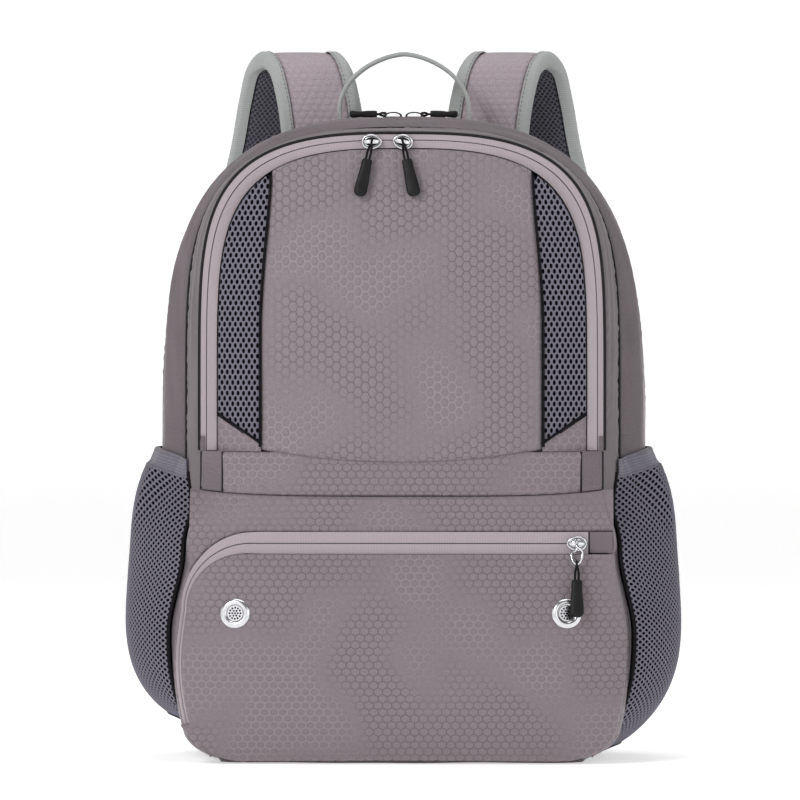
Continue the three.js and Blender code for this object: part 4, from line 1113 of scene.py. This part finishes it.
def build_shoe_pocket():
    line = shoe_zip_line()
    face = SHOE_FRONT - 2.3
    outer, inner = outer_shoe_line(), inner_shoe_line()
    outer_depth = face + 3 * turned_share(line)
    depths = (outer_depth, face)
    flat_tape("upper shoe zip tape", outer, inset(line, -0.35), depths, "root", "shoe_zip_tape_upper")
    sewn_depth = shoe_depth(inner[:, 0], inner[:, 1]) + lerp(1.7, 2.7, ease(inner[:, 0], -118, -98))
    depths = (face, sewn_depth)
    flat_tape("lower shoe zip tape", inset(line, 0.35), inner, depths, "shoe_lid", "shoe_zip_tape_lower")
    settle(coil("shoe zip coil", upright(line, face + 0.9), FRONT), "root")

    top = SHOE_ZIP - SHOE_TAPE + 0.6
    rising = np.maximum.accumulate(np.minimum(inner[:200, 1], SHOE_ZIP - SHOE_TAPE + 0.8))

    def left_edge(z):
        if z >= SHOE_ZIP_LOW - 0.6:
            return np.interp(z, rising, inner[:200, 0]) - 0.5
        return shoe_left(z) - 5.2 * ease(z, 16, SHOE_ZIP_LOW) - 0.5 + foot_round(z)

    heights = np.concatenate([
        0.9 + 14 * (1 - np.cos(np.linspace(0, math.pi / 2, 26))),
        [17, 20, 23, 25.5, 27.2],
        np.linspace(28.2, 130, 74),
        top - 14 * (1 - np.sin(np.linspace(0.15, math.pi / 2, 16))),
    ])
    rows = []
    for z in heights:
        x = np.linspace(float(left_edge(z)), float(shoe_right(z)), 190)
        flat_near_eyelets = ease(np.hypot(np.abs(x) - EYELET_X, z - EYELET_Z), 10, 30)
        dent = 0.45 * ripples(x, z, 71, 85) * ease(z, 146, 130) * ease(z, 5, 25) * flat_near_eyelets
        rows.append(coords(x, shoe_depth(x, z) - 0.4 + dent, z))
    seams = (
        dict(edges="first", depth=1.5, width=4, pucker=0.6, seed=72),
        dict(edges="last top", depth=2.6, width=7, pucker=0.6, seed=74),
    )
    lid, grid = panel("shoe panel cloth", rows, SHELL, FRONT, seams)
    settle(lid, "shoe_lid", "shoe_panel")
    cut(lid)


# ---------------------------------------------------------------- sides
def build_sides():
    for side, sign in SIDES:
        side_heights = np.linspace(FLOOR_EDGE, LEG_LOW - 0.3, 70)
        stop_heights = np.linspace(LEG_LOW, FOLD + 0.6, 12)
        for name, heights, columns, front, node in (
            ("side cloth", side_heights, 50, lambda z: corner_depth(z) + 1.5, f"side_panel_{side}"),
            ("zip stop", stop_heights, 10, lambda z: MAIN_ZIP - MAIN_TAPE - 0.4, ()),
        ):
            rows = []
            for z in heights:
                y = np.linspace(MAIN_ZIP + MAIN_TAPE, front(z), columns)
                rows.append(coords(sign * side_at(y, z), y, z))
            seam = dict(edges="first bottom", depth=1.0, width=3, seed=80 + sign)
            wall, grid = panel(f"{name} {side}", rows, DARK_SHELL, (sign, 0, 0), [seam], drawn=None)
            settle(wall, "root", node)
            cut(wall)


def front_corners():
    """Cloth that wraps from the sides to the front, beside the band and the shoe pocket."""
    tape = outer_shoe_line()[:120]
    turn = np.linspace(0, 1, 16) * math.pi / 2
    for side, sign in SIDES:
        rows = []
        for z in np.linspace(LEG_LOW - 0.4, 4, 100):
            back = corner_depth(z) + 8
            outer = side_at(back, z) * foot_factor(z) / corner_factor(z) + 0.3 - foot_round(z)
            front = lerp(SHOE_FRONT + 1.2, corner_depth(z) - 3.6, ease(z, 140, 156))
            front += 8 * (1 - min(1, z / 12)) ** 2
            if sign < 0:
                leg = np.interp(z, tape[:, 1], -tape[:, 0]) if z < 141 else 147.3
                inner = leg - 0.4 if z > SHOE_ZIP_LOW else outer - 5
            else:
                inner = 147.3 if z > 148 else shoe_right(z) - 5
                if z < 150:
                    front = min(front, shoe_depth(shoe_right(z), z) + 3.5)
            inner = min(inner, outer - 1)
            x = outer - (outer - inner) * (1 - np.cos(turn))
            rows.append(coords(sign * x, back + (front - back) * np.sin(turn), z))
        corner, grid = panel(f"front corner {side}", rows, SHELL, (sign, -1, 0), thickness=1.2)
        settle(corner, "root")
        cut(corner)


def pocket_front(z):
    return lerp(-40, SHOE_FRONT + 4, ease(z, 205, 140)) + 4 * ease(z, 90, 40)


def pocket_bulge(z, bottom):
    centre = 125
    high = POCKET_MOUTH + (POCKET_BULGE - POCKET_MOUTH) * (1 - np.abs((z - centre) / 84) ** 2.2)
    low = POCKET_BULGE * np.maximum(0, 1 - np.abs((z - centre) / (centre - bottom + 2)) ** 3) ** 0.6
    return np.where(z > centre, np.maximum(POCKET_MOUTH, high), low)


def net_face(share, z, side):
    sign = -1 if side == "left" else 1
    y = lerp(pocket_front(z), POCKET_BACK, share)
    belly = pocket_bulge(z, POCKET_LOW[side]) * np.sin(math.pi * np.clip(share, 0, 1)) ** 0.75
    return coords(sign * (side_at(y, z) + NET_STAND + belly), y, z)


def pocket_rise(share):
    return 7 * ease(share, 0, 0.45)


def build_side_pockets():
    for side, sign in SIDES:
        low = POCKET_LOW[side]

        def place(u, z, side=side):
            share = 0.5 - 0.5 * np.cos(math.pi * u)
            return net_face(share, z + pocket_rise(share) * ease(z, 150, 200), side)

        name, heights = f"pocket net {side}", (low + 0.3, 200)
        net = net_over(name, place, heights, pitch=(7.4, 2.02), hole=(1.78, 1.12), away=(sign, 0, 0))
        settle(net, "root", f"mesh_pocket_{side}")

        share = 0.5 - 0.5 * np.cos(math.pi * np.linspace(0, 1, 60))
        rows = []
        for t in np.linspace(0, 1, 16):
            line = net_face(share, lerp(198.2, 211, t) + pocket_rise(share), side)
            line[:, 0] -= sign * (0.6 + 6.0 * t) * np.sin(math.pi * share)
            rows.append(line)
        grid = np.array(rows)
        normal = facing(grid, towards=(sign, 0, 0))
        gather = 0.35 * waves(cloth_lengths(grid)[..., 0], 90 + sign, 7)
        grid = lifted(grid, normal, 0.5 + gather)
        band = shell(f"elastic {side}", grid, ELASTIC, 1.6, normal)
        settle(band, "root", f"elastic_binding_{side}")
        cut(band)
        for row in (1, len(grid) - 3):
            line = grid[row] + normal[row] * 0.35
            sewing = stitches(f"elastic stitches {row} {side}", line, normal[row], pitch=3.0)
            settle(sewing, "root")

        z = np.linspace(202, low, 90)
        for name, path in (
            ("front", net_face(0, z, side) + [sign * -1.4, -0.9, 0]),
            ("back", net_face(1, z, side)),
            ("low", net_face(np.linspace(0, 1, 60), low + 0.4, side)),
        ):
            settle(cord(f"pocket piping {name} {side}", path, 1.15, PIPING), "root")


# ---------------------------------------------------------------- straps and handle
def catmull(points, count):
    """A smooth line through the points, centripetal as in the CAD."""
    points = np.asarray(points, float)
    ends = [2 * points[0] - points[1], 2 * points[-1] - points[-2]]
    p = np.concatenate([[ends[0]], points, [ends[1]]])
    out = []
    for i in range(1, len(p) - 2):
        t = [0.0]
        for k in range(3):
            t.append(t[-1] + np.linalg.norm(p[i + k] - p[i + k - 1]) ** 0.5)
        for s in np.linspace(t[1], t[2], 24, endpoint=False):
            a1 = lerp(p[i - 1], p[i], (s - t[0]) / (t[1] - t[0]))
            a2 = lerp(p[i], p[i + 1], (s - t[1]) / (t[2] - t[1]))
            a3 = lerp(p[i + 1], p[i + 2], (s - t[2]) / (t[3] - t[2]))
            b1 = lerp(a1, a2, (s - t[0]) / (t[2] - t[0]))
            b2 = lerp(a2, a3, (s - t[1]) / (t[3] - t[1]))
            out.append(lerp(b1, b2, (s - t[1]) / (t[2] - t[1])))
    out.append(points[-1])
    return evenly(np.array(out), count)


def build_straps():
    count = 170
    t = np.linspace(0, 1, count)
    s = np.linspace(-1, 1, 41)
    half = lerp(STRAP_WIDE, STRAP_NARROW, ease(t, 0.5, 0.97))[:, None] / 2
    thick = lerp(STRAP_SIDE, 5, ease(t, 0.93, 1)) - 7 * ease(t, 0.04, 0)
    puff = (1 - np.abs(s) ** 5) * (thick[:, None] / 2 - 1.2) + 1.0
    groove = 0.9 * np.exp(-(((np.abs(s) * half - (half - 8.5)) / 0.9) ** 2))
    across = np.array([1.0, 0.0, 0.0])
    for side, sign in SIDES:
        body = f"strap_{side}_body"
        path = catmull([[sign * x, y, z] for x, y, z in STRAP_ROUTE], count)
        out = unit(np.cross(across, unit(np.gradient(path, axis=0))))
        outward = out if out[count // 2][1] > 0 else -out
        flat = path[:, None] + across * (s * (half - 0.5))[..., None]
        for name, way, material, slot in (
            ("face", 1, STRAP_CLOTH, "strap_fabric"),
            ("net", -1, STRAP_NET, "net_fabric"),
        ):
            normal = np.broadcast_to(outward[:, None] * way, flat.shape)
            grid = lifted(flat, normal, puff - groove)
            piece = shell(f"strap {name} {side}", grid, material, 1.0, normal)
            settle(piece, body, f"shoulder_strap_{side}" if way == 1 else ())
        for edge in (-1, 1):
            label = f"{side} {'inner' if edge * sign < 0 else 'outer'}"
            centre = path + across * (edge * (half - 3.6))
            line = path + across * (edge * (half - 8.6))
            back_edge, face_edge = [lifted(line, outward, way * (thick / 2 + 0.3)) for way in (-1, 1)]
            rows = []
            for angle in np.linspace(-math.pi * 0.5, math.pi * 0.5, 13):
                round_edge = centre + across * (edge * 4.4 * math.cos(angle))
                rows.append(lifted(round_edge, outward, (thick / 2 + 0.5) * math.sin(angle)))
            grid = np.array([back_edge, *rows, face_edge])
            piece = shell(f"strap binding {label}", grid, BINDING, 0.5, facing(grid, away_from=path))
            settle(piece, body)
            seam = face_edge + across * (edge * 1.2) + outward * 0.35
            sewing = stitches(f"strap stitches {label}", seam[6:-12], outward[6:-12])
            settle(sewing, body)


def build_handle():
    angle = np.linspace(math.pi, 0, 90)
    x = HANDLE_HALF * power(np.cos(angle), 1.25)
    z = HANDLE_FOOT + (HANDLE_TOP - HANDLE_FOOT) * np.sin(angle) ** 0.9
    out = coords(x * 0.8, 0, np.maximum(z - HANDLE_FOOT, 0.1))
    handle = sweep("handle webbing", coords(x, HANDLE_Y, z), strip_section(25, 3.0, 1.2), BINDING, up=out)
    settle(handle, "handle_body", "grab_handle")

    # The webbing's sewn feet.
    y = np.linspace(HANDLE_Y - 12.4, HANDLE_Y + 12.4, 14)
    half, top, across, up = station_at(y)
    seam = MIDDLE + (top - MIDDLE) * (1 - (HANDLE_HALF / half) ** across) ** (1 / up) - 0.5
    for side, sign in SIDES:
        x = sign * (HANDLE_HALF + 1.3)
        rows = [coords(x, y, lerp(seam, HANDLE_FOOT + 1.5, t)) for t in np.linspace(0, 1, 10)]
        foot, _ = panel(f"handle foot {side}", rows, BINDING, (sign, 0, 0), thickness=2.6, drawn=[1, 2])
        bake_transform(foot)


# ---------------------------------------------------------------- back, base and the straps' ends
def build_back():
    """The padded back panel: one crowned sheet of spacer net, sewn down in channels."""
    half, top, across, up = station_at(58)
    rows = []
    closer_at_ends = 0.5 - 0.5 * np.cos(np.linspace(0.0, math.pi * 0.985, 130))
    for z in lerp(FLOOR_EDGE, top - 1, closer_at_ends):
        wide = float(arch_half_at(z, half, top - 1, across, up)) * float(corner_factor(z))
        x = wide * np.sin(np.linspace(-math.pi / 2, math.pi / 2, 120))
        edge = np.minimum(np.minimum(wide - np.abs(x), z - FLOOR_EDGE), (top - 1 - z) * 1.3)
        crown = rounded(edge, 13)
        spine = np.minimum(np.abs(np.abs(x) - 22), 40)
        lumbar = np.abs(z - 128 - 8 * (x / 100) ** 2)
        chest = np.where(np.abs(x) > 22, np.abs(z - 262 - 14 * (x / 100) ** 2), 40)
        channel = np.minimum(np.minimum(spine, lumbar), chest)
        sewn_down = 3.4 * np.exp(-((channel / 4.2) ** 2))
        y = 59.0 + 10.8 * crown - sewn_down * crown + 0.35 * ripples(x, z, 101, 50) * crown
        rows.append(coords(x, y, z))
    pad, _ = panel("back panel net", rows, BACK_NET, BACK)
    settle(pad, "root", "back_panel")

    line = arch(half, top - 0.4, across, up, FLOOR_EDGE, 420)
    line[:, 0] *= corner_factor(line[:, 1])
    path = upright(line, 59.6)
    out = path - [0, 59.6, MIDDLE]
    binding = sweep("back edge binding", path, strip_section(6.0, 1.6, 0.7), BINDING, up=out)
    settle(binding, "root")

    width, height, top_z = 87.5, 26, 413.2
    x = np.linspace(-width, width, 90)
    rows = []
    for t in np.linspace(0, 1, 24):
        from_edge = height * np.minimum(t, 1 - t)
        crown = rounded(np.minimum(width - np.abs(x), from_edge + 0.2), 6)
        groove = 1.2 * np.exp(-(((from_edge - 4.5) / 0.9) ** 2))
        rows.append(coords(x, 72.0 + 10.6 * crown - groove, top_z - height + height * t))
    yoke, _ = panel("strap yoke cloth", rows, SHELL, BACK)
    settle(yoke, "root", "strap_yoke")
    for z in (top_z - 4.6, top_z - height + 4.6):
        line = coords(np.linspace(-83, 83, 80), 82.0, z)
        settle(stitches(f"yoke stitches {z:.0f}", line, BACK), "root")


def build_base():
    rows = []
    for t in np.linspace(0, 1, 60):
        y = lerp(66, -81, t)
        corner = (26 if t < 0.5 else 46) * (1 - rounded(min(t, 1 - t), 0.12))
        reach = side_at(y, 1.0) * 0.97 - corner
        x = np.linspace(-reach, reach, 60)
        rows.append(coords(x, y, 0.15 + 0.35 * (1 + ripples(x, y, 111, 60))))
    base, _ = panel("base cloth", rows, DARK_SHELL, (0, 0, -1), thickness=3.0, drawn=[0, 1])
    settle(base, "root", "base_panel")


# The webbing's way through a ladder lock, as (distance down, distance out) in mm.
TAIL_ROUTE = [
    (24, -2.0), (21.5, -0.6), (19, 1.6), (15.5, 3.4), (12, 3.2), (10.6, 0.4),
    (12.4, 3.6), (16, 4.6), (24, 5.4), (42, 7.6), (66, 7.2),
]


def build_strap_ends():
    for side, sign in SIDES:
        end = np.array([sign * STRAP_ROUTE[-1][0], STRAP_ROUTE[-1][1], STRAP_ROUTE[-1][2]])
        low = np.array([sign * 132, 73.4, 46.5])
        start = end + [0, -2.8, -30.6]
        path = catmull([start, (low + start) / 2 + [0, 5, 0], low], 60)
        webbing = sweep(f"webbing cloth {side}", path, strip_section(25, 1.8, 0.8), BINDING, up=BACK)
        settle(webbing, "root", f"webbing_{side}")

        # The webbing's loop round the ladder lock's middle bar, and the free tail that hangs from it.
        tilt = 0.1
        down = np.array([0, -math.sin(tilt), -math.cos(tilt)])
        out = np.array([0, math.cos(tilt), -math.sin(tilt)])
        lock = end + [0, 0, -2.2]
        path = catmull([lock + down * along + out * reach for along, reach in TAIL_ROUTE], 120)
        tail = sweep(f"webbing tail {side}", path, strip_section(24, 1.2, 0.5), BINDING, up=out)
        settle(tail, f"ladder_lock_{side}_body")


# ---------------------------------------------------------------- zip hardware
def placed(piece, matrix):
    """Moves a piece made in its own frame, in mm, to its place on the bag."""
    scaled = matrix.copy()
    scaled.translation = matrix.translation * MM
    piece.data.transform(scaled)
    return piece


def frame_of(across, up, out, place):
    frame = Matrix((across, up, out)).transposed().to_4x4()
    frame.translation = Vector(place)
    return frame


BRIDGE_AXIS = 7.3
WIRE_LOOP = 2.3
# The middle of a slider's face, as (size, height) of its rings from the outside inwards.
# A sunk middle is drawn near-black: painted shade of the recess under the bridge.
SUNK_MIDDLE = [(1, 2.2), (1, 2.95), (0.92, 3.08), (0.05, 3.12)]
DOMED_MIDDLE = [(1.15, 2.2), (1.1, 3.6), (0.85, 4.9), (0.4, 5.5), (0.05, 5.6)]


def slider(name, look, height=1.0, sunk=True):
    """A zip slider along X with its face to +Z: a domed body, a raised rim and an arched bridge."""
    angle = np.linspace(0, 2 * math.pi, 49)[:-1]
    c, s = np.cos(angle), np.sin(angle)
    narrowing = 1 - 0.14 * c
    rows = []
    for ring in np.linspace(1, 0.02, 10):
        level = 2.9 * (1 - ring**5) + 0.3 if ring > 0.75 else 2.6
        rows.append(coords(6.5 * ring * power(c, 0.75), 4.6 * ring * power(s, 0.75) * narrowing, level))
    body = loft(name, [rows[0] * [1, 1, 0], *rows], look, sharp=40)
    rim = cord("rim", coords(6.3 * c, 4.5 * s * narrowing, 2.5), 0.85, look, 10, closed=True, up=(0, 0, 1))
    middle = SUNK_MIDDLE if sunk else DOMED_MIDDLE
    rings = [coords(4.9 * size * c, 3.1 * size * s, level) for size, level in middle]
    # A sunk middle takes the black cord material: painted shade of the recess under the bridge.
    rim = join("rim", [rim, loft("middle", rings, BLACK_CORD_AND_RECESS_SHADE if sunk else look)])
    t = np.linspace(0, math.pi, 30)
    path = coords(-5.6 * np.cos(t), 0, 1.6 + 6.2 * np.sin(t) ** 0.55)
    up = coords(-np.cos(t), 0, np.sin(t) + 0.05)
    piece = join(name, [body, rim, sweep("bridge", path, strip_section(2.8, 1.5, 0.6), look, up=up)])
    for vertex in piece.data.vertices:
        vertex.co.z *= height
    return piece


def loft(name, rings, material, sharp=45):
    """A closed body through rings of points, each ring the same length."""
    return mesh_object(name, rings, capped_faces(len(rings), len(rings[0])), material, sharp=sharp)


def grip(name, start, length, neck, tip, thick):
    """A moulded grip along -Y: a rounded bar that widens towards its tip, with a shallow thumb hollow."""
    angle = np.arange(32) * 2 * math.pi / 32
    round_tip = 0.86 + 0.14 * np.sin(np.linspace(0.2, math.pi / 2, 8))
    rings = []
    for t in np.concatenate([[0, 0.02, 0.05], np.linspace(0.1, 0.86, 12), round_tip]):
        wide = lerp(neck, tip, ease(t, 0.15, 0.8)) / 2
        deep = thick / 2 * (1 - 0.22 * math.exp(-(((t - 0.62) / 0.16) ** 2)))
        if t < 0.05:
            wide, deep = wide * (0.86 + 2.8 * t), deep * (0.86 + 2.8 * t)
        if t > 0.86:
            cap = math.sqrt(max(0.0, 1 - ((t - 0.86) / 0.145) ** 2))
            wide, deep = wide * (0.25 + 0.75 * cap), deep * (0.3 + 0.7 * cap)
        x = wide * power(np.cos(angle), 0.6)
        z = deep * power(np.sin(angle), 0.7)
        rings.append(coords(x, -start - t * length, z))
    return loft(name, rings, RUBBER)


def cord_pair(name, length, bend):
    """A doubled cord: it goes round a bar and its two strands lie side by side at the grip."""
    t = np.linspace(0, 1, 30)
    twist = ease(t, 0.0, 0.75) * math.pi / 2
    reach = lerp(bend, 1.25, ease(t, 0, 0.5))
    down = coords(reach * np.sin(twist), -length * t, reach * np.cos(twist))
    over = np.linspace(math.pi, 0, 12)[1:-1]
    top = coords(0, bend * np.sin(over), bend * np.cos(over) * -1)
    return cord(name, np.concatenate([down[::-1], top, down * [-1, 1, -1]]), 0.85, BLACK_CORD_AND_RECESS_SHADE, 10)


def turned(axis, angle):
    return Matrix.Rotation(angle, 4, axis)


def build_pocket_sliders():
    for side, sign in SIDES:
        centre = -21 if side == "left" else 0.7
        base = frame_of((1, 0, 0), (0, 0, 1), FRONT, (centre, POCKET_FRONT - 2.7, TEETH_TOP - 1.2))
        nose = turned("Z", 0.0 if sign < 0 else -0.16) @ turned("Z", math.pi if sign > 0 else 0)
        body = placed(slider(f"pocket slider body {side}", METAL), base @ nose)
        settle(body, f"pocket_slider_{side}_body", f"pocket_slider_{side}")
        hang = base @ Matrix.Translation((0, 0, BRIDGE_AXIS)) @ turned("Z", sign * 0.22) @ turned("X", -0.25)
        pull = f"pocket_pull_{side}_body"
        for name, piece in (
            ("cord", cord_pair(f"pocket cord {side}", 13.6, 1.9)),
            ("grip", grip(f"pocket grip {side}", 13.2, 26.5, 7.4, 9.2, 5.0)),
        ):
            settle(placed(piece, hang), pull, f"pocket_pull_{name}_{side}")


def build_main_sliders():
    for side, sign in SIDES:
        base = frame_of((0, sign, 0), (-sign, 0, 0), (0, 0, 1), (sign * 7.4, MAIN_ZIP, STATION_TOP[3] - 0.4))
        body = placed(slider(f"main slider body {side}", PLASTIC, 0.62), base @ turned("Z", math.pi / 2))
        settle(body, f"main_slider_{side}_body", f"main_slider_{side}")
        strands = cord_pair(f"main cord {side}", 6.0, 0.9)
        pull = join(f"main pull loop {side}", [strands, grip(f"main grip {side}", 5.4, 19.5, 6.0, 7.6, 5.2)])
        hang = base @ Matrix.Translation((0, -6.0, 3.6))
        settle(placed(pull, hang), f"main_pull_{side}_body", f"main_pull_{side}")


def build_shoe_slider():
    base = frame_of((1, 0, 0), (0, 0, 1), FRONT, (122, SHOE_FRONT - 2.7, SHOE_ZIP))
    body = placed(slider("shoe slider body", METAL, sunk=False), base @ turned("Z", math.pi))
    settle(body, "shoe_slider_body", "shoe_slider")
    hang = base @ Matrix.Translation((0, 0, BRIDGE_AXIS)) @ turned("X", -0.37)
    half = 8.5
    angle = np.linspace(0.02, 2 * math.pi - 0.02, 90)
    height = WIRE_LOOP - half - half * np.cos(angle)
    reach = 3.9 * np.sin(angle)
    twist = math.pi / 2 * ease(height, -8, -2.5)
    path = coords(reach * np.cos(twist), height, reach * np.sin(twist))
    ring = cord("shoe wire ring", path, 0.9, METAL, 10)
    settle(placed(ring, hang), "shoe_bail_body", "shoe_pull_bail")
    lower = hang @ Matrix.Translation((0, -14.7, 0))
    for name, piece in (
        ("cord", cord_pair("shoe cord", 12.6, 1.7)),
        ("grip", grip("shoe grip", 12.2, 26.5, 7.6, 9.8, 5.2)),
    ):
        settle(placed(piece, lower), "shoe_pull_body", f"shoe_pull_{name}")


def build_eyelets():
    back = -3.7
    inner = EYELET_INNER + 0.7
    profile = [
        (inner, back - 1.4), (EYELET_OUTER - 2.4, back - 1.4), (EYELET_OUTER - 2.4, back),
        (inner + 1.1, back), (inner + 1.1, 0.2), (EYELET_OUTER, 0.2), (EYELET_OUTER + 0.15, 0.7),
        (EYELET_OUTER - 0.5, 1.5), (EYELET_OUTER - 1.8, 2.05), (inner + 1.6, 2.1), (inner + 0.5, 1.6),
        (inner, 0.7), (inner, back - 1.4),
    ]
    holes = [(0.0, 0.0)]
    for count, radius in ((6, 1.95), (12, 3.9)):
        for angle in np.arange(count) * 2 * math.pi / count:
            holes.append((radius * math.cos(angle), radius * math.sin(angle)))
    for side, sign in SIDES:
        x, z = sign * EYELET_X, EYELET_Z
        along_x = Vector((2.0, float(shoe_depth(x + 1, z) - shoe_depth(x - 1, z)), 0)).normalized()
        along_z = Vector((0, float(shoe_depth(x, z + 1) - shoe_depth(x, z - 1)), 2.0))
        out = along_x.cross(along_z).normalized()
        base = frame_of(along_x, out.cross(along_x), out, (x, float(shoe_depth(x, z)), z))
        ring = placed(lathe(f"eyelet ring {side}", profile, METAL), base)
        settle(ring, "shoe_lid", f"eyelet_{side}")
        disc = [(0.01, 0.75), (inner - 0.1, 0.75), (inner - 0.1, 0.0), (0.01, 0.0)]
        screen = [lathe("plate", disc, METAL, 40)]
        # Near-black dots over the screen's holes: painted shade seen through them.
        for dx, dy in holes:
            dot = lathe("dot", [(0.01, 0.82), (0.7, 0.82), (0.7, 0.7)], HOLE_SHADE, 12)
            screen.append(placed(dot, Matrix.Translation((dx, dy, 0))))
        plate = placed(join(f"eyelet screen plate {side}", screen), base)
        settle(plate, "shoe_lid", f"eyelet_screen_{side}")


build_gussets()
build_main_zip()
build_pocket_zip()
build_lid()
build_low_front()
build_shoe_pocket()
build_sides()
front_corners()
build_side_pockets()
build_straps()
build_handle()
build_pocket_sliders()
build_main_sliders()
build_shoe_slider()
build_eyelets()
build_back()
build_base()
build_strap_ends()

# ---------------------------------------------------------------- finishes on the CAD's own nodes
CAD_LOOKS = {
    "back_lining": LINING,
    "back_foam": LINING,
    "partition_lower": LINING,
    "partition_upper": LINING,
    "pocket_floor": LINING,
    "shoe_zip_end_patch": DARK_SHELL,
}
for side, _ in SIDES:
    CAD_LOOKS[f"ladder_lock_{side}"] = PLASTIC
    CAD_LOOKS[f"anchor_tab_{side}"] = DARK_SHELL
for node, look in CAD_LOOKS.items():
    piece = frame["nodes"][node]
    piece.data.materials.clear()
    piece.data.materials.append(look)
